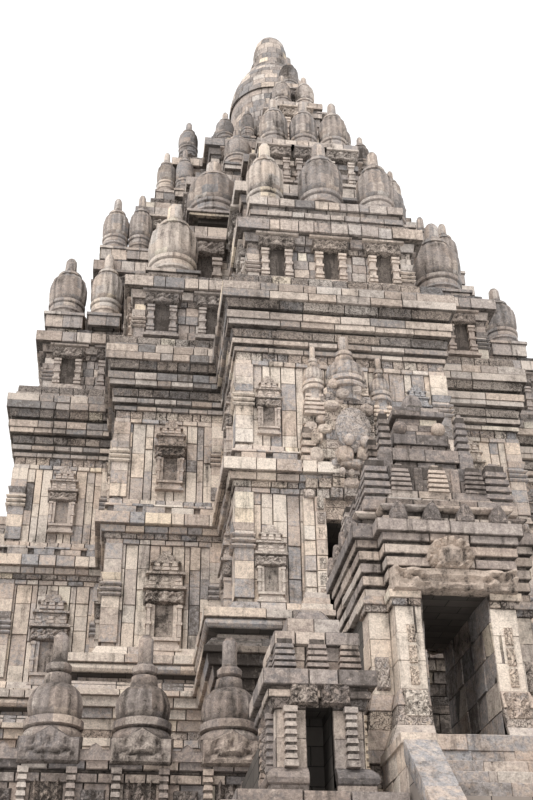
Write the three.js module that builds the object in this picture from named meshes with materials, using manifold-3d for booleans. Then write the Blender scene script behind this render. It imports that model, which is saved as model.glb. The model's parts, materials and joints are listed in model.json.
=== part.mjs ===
// A Javanese stone temple tower, as a one to ten scale model.
//
// The real building is 47 m tall, so every size below is written in metres of the real
// building and turned into model millimetres when a mesh is made. +Z is up, the front faces
// -Y, and the origin lies on the ground under the middle of the tower.
//
// A side is described by two local directions: "along" runs to the right for someone who
// looks at that side from inside the tower's axis, and "out" points away from the axis.

import * as THREE from 'three';
import * as BufferGeometryUtils from 'three/addons/utils/BufferGeometryUtils.js';
import Module from 'manifold-3d';

const wasm = await Module();
wasm.setup();

// Scale and clearance
const MM_PER_METRE = 100;
const GAP = 0.003;
const BURY = 0.02;

// Dressed stones stand this far in front of every mass that is modelled here.
const FACING = 0.08;

// Heights of the main stages
const GALLERY_Z = 5.0;
const CHAMBER_Z = 10.9;
const PORCH_TOP_Z = 15.5;
const CORNICE_Z = 18.6;
const ROOF_Z = 21.2;
const CROWN_Z = 38.5;
const TOP_Z = 47.0;

// Terrace, its gate platforms and the parapet around the gallery
const TERRACE_HALF = 17.05;
const PLATFORM_HALF = 3.6;
const PLATFORM_REACH = 21.7;
const PARAPET_OUT = 17.0;
const PARAPET_THICK = 0.9;
const PARAPET_TOP_Z = 6.5;
const PARAPET_END = 2.2;
const FIRST_FINIAL = 3.4;
const FINIAL_SPACING = 1.62;
const FINIALS_PER_RUN = 8;
const FINIAL_WIDTH = 1.0;
const FINIAL_HEIGHT = 2.5;

// Outer and inner stairs
const OUTER_RISERS = 21;
const TOP_RISERS = 5;
const TREAD = 0.28;
const INNER_RISERS = 18;
const INNER_FOOT = 16.4;
const INNER_HEAD = 12.75;
const STAIR_HALF = 0.95;
const WING_THICK = 0.42;
const WING_RISE = 0.75;

// Gates and the small shrines beside them
const GATE_OUT = 20.4;
const GATE_BACK = 17.6;
const GATE_HALF = 1.05;
const GATE_WING_HALF = 1.42;
const GATE_WING_INSET = 0.35;
const GATE_DOOR_HALF = 0.58;
const SILL_Z = 6.1;
const GATE_HEAD_Z = 8.55;
const SHRINE_ALONG = 2.5;
const SHRINE_HALF = 0.72;
const SHRINE_OUT = 21.25;
const SHRINE_BACK = 19.7;
const SHRINE_DOOR_HALF = 0.2;
const SHRINE_DOOR_DEPTH = 0.95;

// Plans of the tower: half widths and reaches of the arms, and of the porch on each arm.
// porchReach lists the front, right, back and left side, and 0 means no porch there.
const PORCH_REACH = 12.65;
const FOUR_PORCHES = [PORCH_REACH, PORCH_REACH, PORCH_REACH, PORCH_REACH];
const BODY_PLAN = { arm: 6.1, reach: 9.25, porch: 2.87, porchReach: FOUR_PORCHES };
const CORNICE_PLAN = { arm: 6.1, reach: 9.25, porch: 2.87, porchReach: [PORCH_REACH, 0, 0, 0] };
const DOOR_HALF = 0.65;
const DOOR_HEAD_Z = 13.6;
const CELLA_HALF = 3.5;

const STONE = { color: 0x9c9184, roughness: 0.95, metalness: 0 };
const DARK_STONE = { color: 0x6f675f, roughness: 0.96, metalness: 0 };
const SIDES = ['front', 'right', 'back', 'left'];

// Solids

function toSolid(geometry) {
  const bare = geometry.clone();
  bare.deleteAttribute('normal');
  bare.deleteAttribute('uv');
  const merged = BufferGeometryUtils.mergeVertices(bare, 1e-5);
  const corners = merged.index.array;
  const kept = [];
  for (let i = 0; i < corners.length; i += 3) {
    const [a, b, c] = [corners[i], corners[i + 1], corners[i + 2]];
    if (a !== b && b !== c && a !== c) {
      kept.push(a, b, c);
    }
  }
  return new wasm.Manifold(new wasm.Mesh({
    numProp: 3,
    vertProperties: Float32Array.from(merged.attributes.position.array),
    triVerts: Uint32Array.from(kept),
  }));
}

function toGeometry(solid) {
  const mesh = solid.getMesh();
  const geometry = new THREE.BufferGeometry();
  geometry.setAttribute('position', new THREE.BufferAttribute(Float32Array.from(mesh.vertProperties), 3));
  geometry.setIndex(new THREE.BufferAttribute(Uint32Array.from(mesh.triVerts), 1));
  geometry.computeVertexNormals();
  return geometry;
}

function join(solids) {
  return solids.reduce((whole, piece) => whole.add(piece));
}

// A place given as (along, out) on a side becomes a point in plan.
function sidePoint(side, along, out) {
  switch (side) {
    case 0: return [along, -out];
    case 1: return [out, along];
    case 2: return [-along, out];
    default: return [-out, -along];
  }
}

// A solid made for the front side is turned about the axis to stand on another side.
function turnToSide(solid, side) {
  return solid.rotate([0, 0, 90 * side]);
}

// An upright box on the front side, between two values along, out and up.
function frontBox(alongLow, alongHigh, outLow, outHigh, zLow, zHigh) {
  const box = new THREE.BoxGeometry(alongHigh - alongLow, outHigh - outLow, zHigh - zLow);
  box.translate((alongLow + alongHigh) / 2, -(outLow + outHigh) / 2, (zLow + zHigh) / 2);
  return toSolid(box);
}

// The outline of a stepped cross, or of a square when arm equals reach, grown by an amount.
// The side arms may be narrower than the front and back ones.
function crossOutline(plan, grow) {
  const points = [];
  const stepped = plan.arm < plan.reach;
  const reach = plan.reach + grow;
  const porch = plan.porch + grow;
  const arms = [plan.arm + grow, (plan.sideArm ?? plan.arm) + grow];
  for (let side = 0; side < 4; side += 1) {
    const arm = arms[side % 2];
    const nextArm = arms[(side + 1) % 2];
    const add = (along, out) => points.push(new THREE.Vector2(...sidePoint(side, along, out)));
    if (stepped) {
      add(-arm, reach);
    }
    if (plan.porchReach[side] > 0) {
      const porchOut = plan.porchReach[side] + grow;
      add(-porch, reach);
      add(-porch, porchOut);
      add(porch, porchOut);
      add(porch, reach);
    }
    add(arm, reach);
    if (stepped) {
      add(arm, nextArm);
    }
  }
  return points;
}

function boxOutline(centreAlong, centreOut, halfAlong, halfOut) {
  return (grow) => [[-1, -1], [1, -1], [1, 1], [-1, 1]].map(([a, b]) => new THREE.Vector2(
    centreAlong + a * (halfAlong + grow),
    -centreOut + b * (halfOut + grow),
  ));
}

// Moulded masonry: an outline carried up through a profile of [height, grow] pairs.
function moulded(outlineAt, profile) {
  const rings = profile.map(([z, grow]) => ({ z, points: outlineAt(grow - FACING) }));
  const count = rings[0].points.length;
  const positions = [];
  for (const ring of rings) {
    for (const point of ring.points) {
      positions.push(point.x, point.y, ring.z);
    }
  }
  const triangles = [];
  for (let level = 0; level + 1 < rings.length; level += 1) {
    for (let i = 0; i < count; i += 1) {
      const next = (i + 1) % count;
      const low = level * count;
      const high = low + count;
      triangles.push(low + i, low + next, high + next, low + i, high + next, high + i);
    }
  }
  const top = (rings.length - 1) * count;
  for (const [a, b, c] of THREE.ShapeUtils.triangulateShape(rings[0].points, [])) {
    triangles.push(c, b, a);
  }
  for (const [a, b, c] of THREE.ShapeUtils.triangulateShape(rings[rings.length - 1].points, [])) {
    triangles.push(top + a, top + b, top + c);
  }
  const geometry = new THREE.BufferGeometry();
  geometry.setAttribute('position', new THREE.Float32BufferAttribute(positions, 3));
  geometry.setIndex(triangles);
  return toSolid(geometry);
}

function mouldedCross(plan, profile) {
  return moulded((grow) => crossOutline(plan, grow), profile);
}

// A ratna finial: a bulb and a spire, turned about its axis.
function ratna(width, height, segments) {
  const profile = [
    [0, 0],
    [0.45, 0],
    [0.45, 0.36],
    [0.14, 0.66],
    [0, 1],
  ].map(([r, z]) => new THREE.Vector2(r * width, z * height));
  const lathe = new THREE.LatheGeometry(profile, segments);
  lathe.rotateX(Math.PI / 2);
  lathe.rotateZ(Math.PI / segments);
  return toSolid(lathe);
}

// A ratna on a square pedestal, from the roof surface up to its tip.
function standingRatna([along, out, width, footZ, bulbZ, tipZ], side) {
  const [x, y] = sidePoint(side, along, out);
  const pedestal = new THREE.BoxGeometry(0.6 * width, 0.6 * width, bulbZ - footZ + 2 * BURY);
  pedestal.translate(x, y, (footZ + bulbZ) / 2);
  const bulb = ratna(width, tipZ - bulbZ, 6).translate([x, y, bulbZ]);
  return toSolid(pedestal).add(bulb);
}

// Terrace

function terrace() {
  const plan = {
    arm: TERRACE_HALF,
    reach: TERRACE_HALF,
    porch: PLATFORM_HALF,
    porchReach: [PLATFORM_REACH, PLATFORM_REACH, PLATFORM_REACH, PLATFORM_REACH],
  };
  let platform = mouldedCross(plan, [
    [0, 0.6], [0.5, 0.6], [0.5, 0.45], [0.95, 0.45], [1.3, 0],
    [3.9, 0], [4.2, 0.3], [4.45, 0.3], [4.45, 0.45], [4.8, 0.45], [4.8, 0.2],
    [GALLERY_Z, 0.2],
  ]);
  const half = STAIR_HALF + WING_THICK + GAP;
  const stairSeat = frontBox(-half, half, PLATFORM_REACH, PLATFORM_REACH + 2, -1, GALLERY_Z + 1);
  for (let side = 0; side < 4; side += 1) {
    platform = platform.subtract(turnToSide(stairSeat, side));
  }
  return platform;
}

// A corner run of parapet: two walls that meet at the corner, a low return behind each
// small shrine, and the row of ratnas that stands on the coping.
function parapet() {
  const inner = PARAPET_OUT - PARAPET_THICK;
  const middle = PARAPET_OUT - PARAPET_THICK / 2;
  const coping = 0.08;
  const foot = GALLERY_Z + GAP;
  const wallTop = PARAPET_TOP_Z - 0.35;
  const face = PARAPET_OUT - FACING;
  const front = frontBox(-face, -PARAPET_END, inner + FACING, face, foot, wallTop);
  const frontCoping = frontBox(
    -face - coping, -PARAPET_END, inner + FACING - coping, face + coping, wallTop, PARAPET_TOP_Z - FACING,
  );
  const half = front.add(frontCoping).add(
    frontBox(-SHRINE_ALONG - SHRINE_HALF, -PARAPET_END, inner + 0.1, SHRINE_BACK - 0.1, foot, wallTop),
  );
  const finials = [];
  const finial = ratna(FINIAL_WIDTH, FINIAL_HEIGHT, 6).translate([0, 0, PARAPET_TOP_Z - FACING - BURY]);
  for (let i = 0; i < FINIALS_PER_RUN; i += 1) {
    const place = FIRST_FINIAL + i * FINIAL_SPACING;
    finials.push(finial.translate([-place, -middle, 0]));
    finials.push(finial.translate([-middle, -place, 0]));
  }
  finials.push(finial.translate([-middle, -middle, 0]));
  const mirrored = half.mirror([1, -1, 0]);
  return join([half, mirrored, ...finials]);
}

// Stairs

function flight(foot, head, lowZ, highZ, risers, half) {
  const rise = (highZ - lowZ) / risers;
  const tread = (foot - head) / (risers - 1);
  const profile = [new THREE.Vector2(head, lowZ)];
  for (let i = 1; i < risers; i += 1) {
    profile.push(new THREE.Vector2(foot - (i - 1) * tread, lowZ + (i - 1) * rise));
    profile.push(new THREE.Vector2(foot - (i - 1) * tread, lowZ + i * rise));
  }
  profile.push(new THREE.Vector2(head, lowZ + (risers - 1) * rise));
  return sideExtrusion(profile, -half, half);
}

// An outline of (out, z) points, drawn out along the side between two values.
function sideExtrusion(points, alongLow, alongHigh) {
  const shape = new THREE.Shape(points);
  const geometry = new THREE.ExtrudeGeometry(shape, { depth: alongHigh - alongLow, bevelEnabled: false });
  geometry.rotateX(Math.PI / 2);
  geometry.rotateZ(-Math.PI / 2);
  geometry.translate(alongHigh, 0, 0);
  return toSolid(geometry);
}

function outerStair() {
  const head = PLATFORM_REACH + GAP;
  const foot = head + (OUTER_RISERS - 1) * TREAD;
  const wing = [
    new THREE.Vector2(head, 0),
    new THREE.Vector2(foot + 0.5, 0),
    new THREE.Vector2(foot + 0.5, 0.75),
    new THREE.Vector2(foot + 0.1, 1.1),
    new THREE.Vector2(foot - 0.5, 1.0),
    new THREE.Vector2(head, GALLERY_Z + WING_RISE),
  ];
  return join([
    flight(foot, head, 0, GALLERY_Z, OUTER_RISERS, STAIR_HALF),
    sideExtrusion(wing, -STAIR_HALF - WING_THICK, -STAIR_HALF + BURY),
    sideExtrusion(wing, STAIR_HALF - BURY, STAIR_HALF + WING_THICK),
  ]);
}

function innerStair() {
  return flight(INNER_FOOT, INNER_HEAD, GALLERY_Z + GAP, CHAMBER_Z, INNER_RISERS, STAIR_HALF);
}

// Gate

// The plan of a gate: a bay that stands forward of a wing on each side, front and back.
function gateOutline(grow) {
  const centre = (GATE_OUT + GATE_BACK) / 2;
  const halfOut = (GATE_OUT - GATE_BACK) / 2 + grow;
  const bay = GATE_HALF + grow;
  const wing = GATE_WING_HALF + grow;
  const wingOut = halfOut - GATE_WING_INSET;
  return [
    [-bay, halfOut], [bay, halfOut], [bay, wingOut], [wing, wingOut], [wing, -wingOut], [bay, -wingOut],
    [bay, -halfOut], [-bay, -halfOut], [-bay, -wingOut], [-wing, -wingOut], [-wing, wingOut],
    [-bay, wingOut],
  ].map(([along, out]) => new THREE.Vector2(along, -centre - out));
}

// The two walls of a gate stand on one threshold, which carries the top steps of the stair.
function gateWalls() {
  const foot = GALLERY_Z + GAP;
  const top = GATE_HEAD_Z - GAP;
  const profile = [
    [foot, 0.2], [5.75, 0.2], [5.75, 0.3], [5.95, 0.3], [6.3, 0.14], [6.9, 0], [top, 0],
  ];
  const passage = frontBox(-GATE_DOOR_HALF, GATE_DOOR_HALF, GATE_BACK - 1, GATE_OUT + 1, SILL_Z, top + 1);
  const walls = moulded(gateOutline, profile).subtract(passage);
  const stepsOut = GATE_OUT + (TOP_RISERS - 1) * TREAD;
  const topSteps = flight(stepsOut, GATE_OUT, foot, SILL_Z, TOP_RISERS, STAIR_HALF);
  const wings = [-1, 1].map((side) => frontBox(
    side < 0 ? -STAIR_HALF - WING_THICK : STAIR_HALF - BURY,
    side < 0 ? -STAIR_HALF + BURY : STAIR_HALF + WING_THICK,
    GATE_OUT - 0.1, PLATFORM_REACH, foot, GALLERY_Z + WING_RISE,
  ));
  return join([walls, topSteps, ...wings]);
}

function gateRoof() {
  const centre = (GATE_OUT + GATE_BACK) / 2;
  const cornice = [
    [GATE_HEAD_Z, 0], [8.9, 0], [9.5, 0.12], [9.5, 0.19], [9.8, 0.19], [9.8, 0.06], [10.3, 0.04],
  ];
  const pieces = [
    moulded(gateOutline, cornice),
    moulded(boxOutline(0, centre, 0.9, 1.15), [[10.3 - BURY, 0], [11.1, 0]]),
    moulded(boxOutline(0, centre, 0.62, 0.6), [
      [11.1 - BURY, -0.06], [11.5, -0.06], [11.5, 0], [11.75, 0],
    ]),
    moulded(boxOutline(0, centre, 0.53, 0.38), [
      [11.75 - BURY, -0.05], [12.0, -0.05], [12.0, 0], [12.2, 0], [12.2, -0.12],
      [12.65, -0.12], [12.65, -0.05], [12.85, -0.05],
    ]),
    ratna(0.5, 0.5, 6).translate([0, -centre, 12.85 - BURY]),
  ];
  for (const [along, out] of [[-1, -1], [1, -1], [-1, 1], [1, 1]]) {
    const turret = ratna(0.5, 0.95, 6);
    pieces.push(turret.translate([along * 1.1, -centre + out * 0.95, 10.3 - BURY]));
  }
  return join(pieces);
}

// Small shrine beside a gate, with a niche that is open to the front

function shrine() {
  const centre = (SHRINE_OUT + SHRINE_BACK) / 2;
  const halfOut = (SHRINE_OUT - SHRINE_BACK) / 2;
  const foot = GALLERY_Z + GAP;
  const body = moulded(boxOutline(SHRINE_ALONG, centre, SHRINE_HALF, halfOut), [
    [foot, 0.06], [5.2, 0.06], [5.45, -0.06], [6.45, -0.06], [6.6, 0.06], [6.85, 0.06],
    [6.85, -0.14], [7.5, -0.1], [7.5, -0.3], [8.0, -0.55],
  ]);
  const niche = frontBox(
    SHRINE_ALONG - SHRINE_DOOR_HALF, SHRINE_ALONG + SHRINE_DOOR_HALF,
    SHRINE_OUT - SHRINE_DOOR_DEPTH, SHRINE_OUT + 1, 5.1, 6.42,
  );
  return body.subtract(niche);
}

// Temple foot and body

function templeFoot() {
  const foot = mouldedCross(BODY_PLAN, [
    [GALLERY_Z + GAP, 1.15], [5.5, 1.15], [5.5, 0.95], [5.9, 0.95], [6.4, 0.38],
    [9.6, 0.38], [9.9, 0.85], [10.15, 0.78], [10.35, 0.5], [10.45, 0.8], [CHAMBER_Z - GAP, 0.85],
  ]);
  const recess = frontBox(
    -STAIR_HALF - 0.01, STAIR_HALF + 0.01, INNER_HEAD - 0.01, PORCH_REACH + 2, GALLERY_Z - 1, CHAMBER_Z + 1,
  );
  let cut = foot;
  for (let side = 0; side < 4; side += 1) {
    cut = cut.subtract(turnToSide(recess, side));
  }
  return cut;
}

const WALL_PROFILE = [
  [CHAMBER_Z, 0.3], [11.1, 0.3], [11.35, 0],
  [14.3, 0], [14.78, 0.24], [14.78, 0.4],
  [15.15, 0.4], [15.15, 0.15], [PORCH_TOP_Z, 0.15], [PORCH_TOP_Z, 0], [CORNICE_Z - GAP, 0],
];

// The whole body as one mass; the porches of the right, back and left side are lower.
function bodyMass() {
  let mass = mouldedCross(BODY_PLAN, WALL_PROFILE);
  const overPorch = frontBox(
    -BODY_PLAN.porch - 1, BODY_PLAN.porch + 1, BODY_PLAN.reach, PORCH_REACH + 2, PORCH_TOP_Z, CORNICE_Z + 1,
  );
  for (let side = 1; side < 4; side += 1) {
    mass = mass.subtract(turnToSide(overPorch, side));
  }
  return mass;
}

function cella() {
  return frontBox(-CELLA_HALF, CELLA_HALF, -CELLA_HALF, CELLA_HALF, CHAMBER_Z - 1, CORNICE_Z + 1);
}

// One quarter of the body, between two of the passages that lead in to the cella.
function bodyQuarter(mass, side) {
  const far = PORCH_REACH + 2;
  const quarter = frontBox(-far, -DOOR_HALF, DOOR_HALF, far, CHAMBER_Z - 1, CORNICE_Z + 1);
  return mass.intersect(turnToSide(quarter, side)).subtract(cella());
}

// The masonry over a doorway. On the lower porches it widens into the porch roof.
function doorHead(mass, side) {
  const half = DOOR_HALF - GAP;
  const over = frontBox(
    -half, half, CELLA_HALF + GAP, PORCH_REACH + 2, DOOR_HEAD_Z, CORNICE_Z + 1,
  );
  const head = mass.intersect(turnToSide(over, side));
  return side === 0 ? head : head.add(turnToSide(porchRoof(), side));
}

function porchRoof() {
  const low = PORCH_TOP_Z + GAP;
  const inner = BODY_PLAN.reach + 0.02;
  const centre = (inner + PORCH_REACH) / 2;
  const halfOut = (PORCH_REACH - inner) / 2;
  const cornice = moulded(boxOutline(0, centre, BODY_PLAN.porch, halfOut), [
    [low, 0], [16.5, 0], [16.8, 0.2], [16.8, 0.4], [17.25, 0.4], [17.25, 0.1],
    [17.6, 0.1], [17.6, -0.3], [18.2, -0.3],
  ]);
  const keep = frontBox(-4, 4, inner, PORCH_REACH + 1, low, 19);
  const key = frontBox(
    -DOOR_HALF + GAP, DOOR_HALF - GAP, inner + 0.1, PORCH_REACH - 0.1, PORCH_TOP_Z - BURY, low + 0.1,
  );
  const pieces = [cornice.intersect(keep), key];
  for (const along of [-2.1, 0, 2.1]) {
    pieces.push(standingRatna([along, PORCH_REACH - 1.1, 1.1, 18.2 - BURY, 18.5, 20.3], 0));
  }
  return join(pieces);
}

// The main cornice is one slab over the walls and the cella.
function mainCornice() {
  return mouldedCross(CORNICE_PLAN, [
    [CORNICE_Z, 0.08], [19.2, 0.2], [19.4, 0.1], [19.4, 0.3], [19.8, 0.34], [20.0, 0.22],
    [20.25, 0.36], [20.25, 0.47], [20.72, 0.47], [20.72, 0.25], [ROOF_Z, 0.2],
  ]);
}

// Roof tiers: a plan, a wall and cornice profile, the blocks that raise the front bay, and
// the ratnas that stand on each tier. A block is written as half width, near and far
// distance out, foot and top height. A ratna is written as along, out, bulb width, foot
// height, bulb height and tip height; the flank ones line the faces of the side arms. The
// upper tiers were rebuilt a little to the left of the axis, by massShift; shift
// moves their side ratnas.

const TIERS = [
  {
    name: 'roof_tier_1',
    plan: { arm: 5.75, sideArm: 5.35, reach: 8.75, porch: 2.45, porchReach: [11.9, 0, 0, 0] },
    profile: [
      [ROOF_Z + GAP, 0.25], [21.5, 0.25], [21.5, 0], [23.15, 0], [23.15, 0.15], [23.45, 0.15],
      [23.45, 0.42], [23.85, 0.42], [23.85, 0.1], [24.2, 0.1],
    ],
    blocks: [[2.35, 9.75, 11.8, 24.2, 25.1]],
    front: [
      [-4.63, 8.0, 1.65, 24.2, 24.8, 28.0], [4.63, 8.0, 1.65, 24.2, 24.8, 28.0],
      [-1.83, 11.0, 1.2, 25.1, 25.5, 28.3], [1.83, 11.0, 1.2, 25.1, 25.5, 28.3],
      [0, 11.0, 1.45, 25.1, 25.5, 28.5],
    ],
    flank: [[-6.7, 5.25, 1.1, 24.2, 25.1, 27.8], [6.5, 5.25, 1.1, 24.2, 25.1, 27.8]],
    others: [
      [-4.9, 8.1, 1.3, 24.2, 25.2, 27.75], [4.9, 8.1, 1.3, 24.2, 25.2, 27.75],
      [-2.4, 8.0, 1.5, 24.2, 24.8, 27.8], [2.4, 8.0, 1.5, 24.2, 24.8, 27.8],
    ],
    massShift: 0,
    shift: -0.2,
  },
  {
    name: 'roof_tier_2',
    plan: { arm: 4.65, reach: 6.9, porch: 2.1, porchReach: [9.4, 0, 0, 0] },
    profile: [
      [24.2 + GAP, 0.2], [24.5, 0.2], [24.5, 0], [27.0, 0], [27.0, 0.15], [27.3, 0.15],
      [27.3, 0.4], [27.75, 0.4], [27.75, 0.05], [28.1, 0.05],
    ],
    blocks: [[1.75, 7.3, 9.1, 28.1, 30.5]],
    front: [
      [-3.2, 6.6, 1.85, 28.1, 28.7, 31.6], [3.2, 6.6, 1.85, 28.1, 28.7, 31.6],
      [-1.12, 8.4, 1.05, 30.5, 30.9, 33.4], [1.12, 8.4, 1.05, 30.5, 30.9, 33.4],
      [0, 8.4, 1.05, 30.5, 30.9, 33.4],
    ],
    flank: [[-5.65, 4.35, 0.9, 28.1, 29.0, 31.7], [5.65, 4.35, 0.9, 28.1, 29.0, 31.7]],
    others: [
      [-4.2, 6.6, 1.0, 28.1, 29.1, 31.55], [4.2, 6.6, 1.0, 28.1, 29.1, 31.55],
      [-1.7, 6.5, 1.4, 28.1, 28.7, 31.2], [1.7, 6.5, 1.4, 28.1, 28.7, 31.2],
    ],
    massShift: -0.2,
    shift: -0.2,
  },
  {
    name: 'roof_tier_3',
    plan: { arm: 3.75, reach: 5.65, porch: 1.7, porchReach: [7.1, 0, 0, 0] },
    profile: [
      [28.1 + GAP, 0.15], [28.4, 0.15], [28.4, 0], [30.7, 0], [30.7, 0.12], [31.0, 0.12],
      [31.0, 0.36], [31.4, 0.36], [31.4, 0], [32.0, 0], [32.0, -0.2], [32.4, -0.2],
    ],
    blocks: [[0.98, 4.65, 6.95, 32.4, 34.9], [0.55, 4.65, 5.95, 34.9, 37.1]],
    front: [
      [-0.46, 6.45, 0.8, 34.9, 35.2, 37.0], [0.46, 6.45, 0.8, 34.9, 35.2, 37.0],
      [-2.15, 5.05, 1.1, 32.4, 33.1, 35.1], [2.15, 5.05, 1.1, 32.4, 33.1, 35.1],
      [0, 5.4, 0.85, 37.1, 37.4, 39.4],
    ],
    flank: [[-4.1, 3.4, 0.75, 32.4, 33.2, 35.4], [4.1, 3.4, 0.75, 32.4, 33.2, 35.4]],
    others: [
      [-3.1, 4.85, 0.8, 32.4, 33.3, 35.4], [3.1, 4.85, 0.8, 32.4, 33.3, 35.4],
      [-1.1, 4.9, 1.0, 32.4, 33.0, 35.1], [1.1, 4.9, 1.0, 32.4, 33.0, 35.1],
    ],
    massShift: -0.1,
    shift: -0.1,
  },
  {
    name: 'roof_tier_4',
    plan: { arm: 2.9, reach: 4.2, porch: 1.2, porchReach: [0, 0, 0, 0] },
    profile: [
      [32.4 + GAP, 0.1], [32.7, 0.1], [32.7, 0], [34.4, 0], [34.4, 0.12], [34.7, 0.12],
      [34.7, 0.35], [35.1, 0.35], [35.1, 0.05], [35.5, 0.05],
    ],
    blocks: [[0.55, 2.98, 4.3, 35.5, 37.1]],
    front: [
      [-2.55, 3.8, 0.8, 35.5, 35.7, 37.4], [2.55, 3.8, 0.8, 35.5, 35.7, 37.4],
    ],
    flank: [],
    others: [
      [-2.55, 3.85, 0.85, 35.5, 36.0, 37.9], [2.55, 3.85, 0.85, 35.5, 36.0, 37.9],
      [0, 3.7, 1.0, 35.5, 36.0, 38.3],
    ],
    massShift: -0.2,
    shift: -0.2,
  },
];

function roofTier(tier) {
  const shift = [tier.shift, 0, 0];
  const pieces = [mouldedCross(tier.plan, tier.profile).translate([tier.massShift, 0, 0])];
  for (const [half, near, far, low, top] of tier.blocks) {
    pieces.push(moulded(boxOutline(0, (near + far) / 2, half, (far - near) / 2), [
      [low - BURY, 0], [top - 0.3, 0], [top - 0.3, 0.1], [top, 0.1],
    ]));
  }
  for (let side = 0; side < 4; side += 1) {
    const list = side === 0 ? tier.front : tier.others;
    const flank = side % 2 === 0 ? tier.flank : [];
    for (const entry of [...list, ...flank]) {
      const [along, out, width, foot, bulb, tip] = entry;
      const finial = standingRatna([along, out, width, foot - BURY, bulb, tip], side);
      pieces.push(tier.front.includes(entry) ? finial : finial.translate(shift));
    }
  }
  return join(pieces);
}

// Crown: a stepped drum with small ratnas, and the great ribbed bell with its knob

function crownBase() {
  const plan = { arm: 1.75, reach: 2.6, porch: 1, porchReach: [0, 0, 0, 0] };
  const pieces = [mouldedCross(plan, [
    [35.5 + GAP, 0.1], [36.4, 0.1], [36.4, 0.35], [36.75, 0.35], [36.75, -0.6], [37.9, -0.6],
    [37.9, -0.35], [CROWN_Z - GAP, -0.35],
  ])];
  for (let side = 0; side < 4; side += 1) {
    pieces.push(standingRatna([-1.45, 2.65, 0.62, 36.75 - BURY, 37.4, 39.2], side));
    pieces.push(standingRatna([1.45, 2.65, 0.62, 36.75 - BURY, 37.4, 39.2], side));
  }
  return join(pieces);
}

function crown() {
  const profile = [
    [0, CROWN_Z], [1.95, CROWN_Z], [1.95, 39.3], [1.8, 41.2], [1.55, 42.8], [1.05, 44.15],
    [0.8, 44.7], [0.74, 45.1], [0.74, 46.1], [0.5, 46.8], [0, TOP_Z],
  ].map(([r, z]) => new THREE.Vector2(Math.max(r - FACING, 0), z));
  const bell = new THREE.LatheGeometry(profile, 20);
  bell.rotateX(Math.PI / 2);
  return toSolid(bell);
}

// Assembly

const model = new THREE.Group();

function place(name, solid, look) {
  const geometry = toGeometry(solid);
  geometry.scale(MM_PER_METRE, MM_PER_METRE, MM_PER_METRE);
  const mesh = new THREE.Mesh(geometry, new THREE.MeshStandardMaterial(look));
  mesh.name = name;
  model.add(mesh);
}

place('terrace', terrace(), DARK_STONE);
place('temple_foot', templeFoot(), STONE);
const mass = bodyMass();
const corners = ['front_left', 'front_right', 'back_right', 'back_left'];
for (let side = 0; side < 4; side += 1) {
  place(`${corners[side]}_parapet`, turnToSide(parapet(), side), DARK_STONE);
  place(`${corners[side]}_body_wall`, bodyQuarter(mass, side), STONE);
  place(`${SIDES[side]}_door_head`, doorHead(mass, side), STONE);
  place(`${SIDES[side]}_inner_stair`, turnToSide(innerStair(), side), STONE);
  place(`${SIDES[side]}_outer_stair`, turnToSide(outerStair(), side), DARK_STONE);
  place(`${SIDES[side]}_gate_walls`, turnToSide(gateWalls(), side), STONE);
  place(`${SIDES[side]}_gate_roof`, turnToSide(gateRoof(), side), DARK_STONE);
  place(`${SIDES[side]}_shrine_right`, turnToSide(shrine(), side), DARK_STONE);
  place(`${SIDES[side]}_shrine_left`, turnToSide(shrine().mirror([1, 0, 0]), side), DARK_STONE);
}
place('main_cornice', mainCornice(), DARK_STONE);
for (const tier of TIERS) {
  place(tier.name, roofTier(tier), STONE);
}
place('crown_base', crownBase(), STONE);
place('crown', crown(), STONE);

export default model;
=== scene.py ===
"""Looks of a Javanese stone temple tower, as a one to ten scale model.

Sizes are metres of the real building, and SCALE turns them into metres of the model. +Z is
up and the front faces -Y. A face of masonry has its own axes: x runs to the right for
someone who looks at it from outside, y points out of the wall and z is up.
"""

import json
import logging
import math
from dataclasses import dataclass, field, replace
from enum import Enum
from typing import Callable, Iterable, Optional, Sequence

import bpy
import numpy as np
from mathutils import Matrix

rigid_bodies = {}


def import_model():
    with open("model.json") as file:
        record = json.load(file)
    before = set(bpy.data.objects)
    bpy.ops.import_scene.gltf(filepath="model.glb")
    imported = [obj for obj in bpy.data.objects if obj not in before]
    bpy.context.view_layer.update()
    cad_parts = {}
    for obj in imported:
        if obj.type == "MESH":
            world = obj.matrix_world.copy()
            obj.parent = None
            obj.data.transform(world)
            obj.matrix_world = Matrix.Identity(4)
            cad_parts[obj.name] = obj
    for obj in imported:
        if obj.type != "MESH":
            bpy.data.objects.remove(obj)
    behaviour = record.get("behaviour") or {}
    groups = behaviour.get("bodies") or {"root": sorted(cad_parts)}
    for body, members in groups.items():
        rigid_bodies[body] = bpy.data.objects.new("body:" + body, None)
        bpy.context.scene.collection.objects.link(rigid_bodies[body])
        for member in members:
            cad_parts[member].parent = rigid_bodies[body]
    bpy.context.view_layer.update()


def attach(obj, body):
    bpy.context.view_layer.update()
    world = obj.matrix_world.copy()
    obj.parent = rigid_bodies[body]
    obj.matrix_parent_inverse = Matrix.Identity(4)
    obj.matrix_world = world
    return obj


LOG = logging.getLogger("temple")

# Metres of the model for one metre of the building
SCALE = 0.1
# A stone: how far it reaches back, its worn edge, its overlap with the next course, its lean
DEEP = 0.16
EDGE = 0.016
LAP = 0.006
TILT = 0.03
# Ends nearer than TOUCH are at a corner, and stretches under LEAST_STONE get no stone
TOUCH = 0.001
LEAST_STONE = 0.03
# Share of a course's stone that its joints may wander
JOINT_WANDER = 0.22
# Wall strips: width, how far their joints wander, range of stone heights and the least one
STRIP = 0.3
STRIP_WANDER = 0.09
STRIP_STONES = (0.35, 1.05)
STRIP_LEAST = 0.3
# Range of tones of old stones and of carvings, from dark to pale
TONES = (0.05, 0.88)
CARVED_TONES = (0.15, 0.8)
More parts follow.
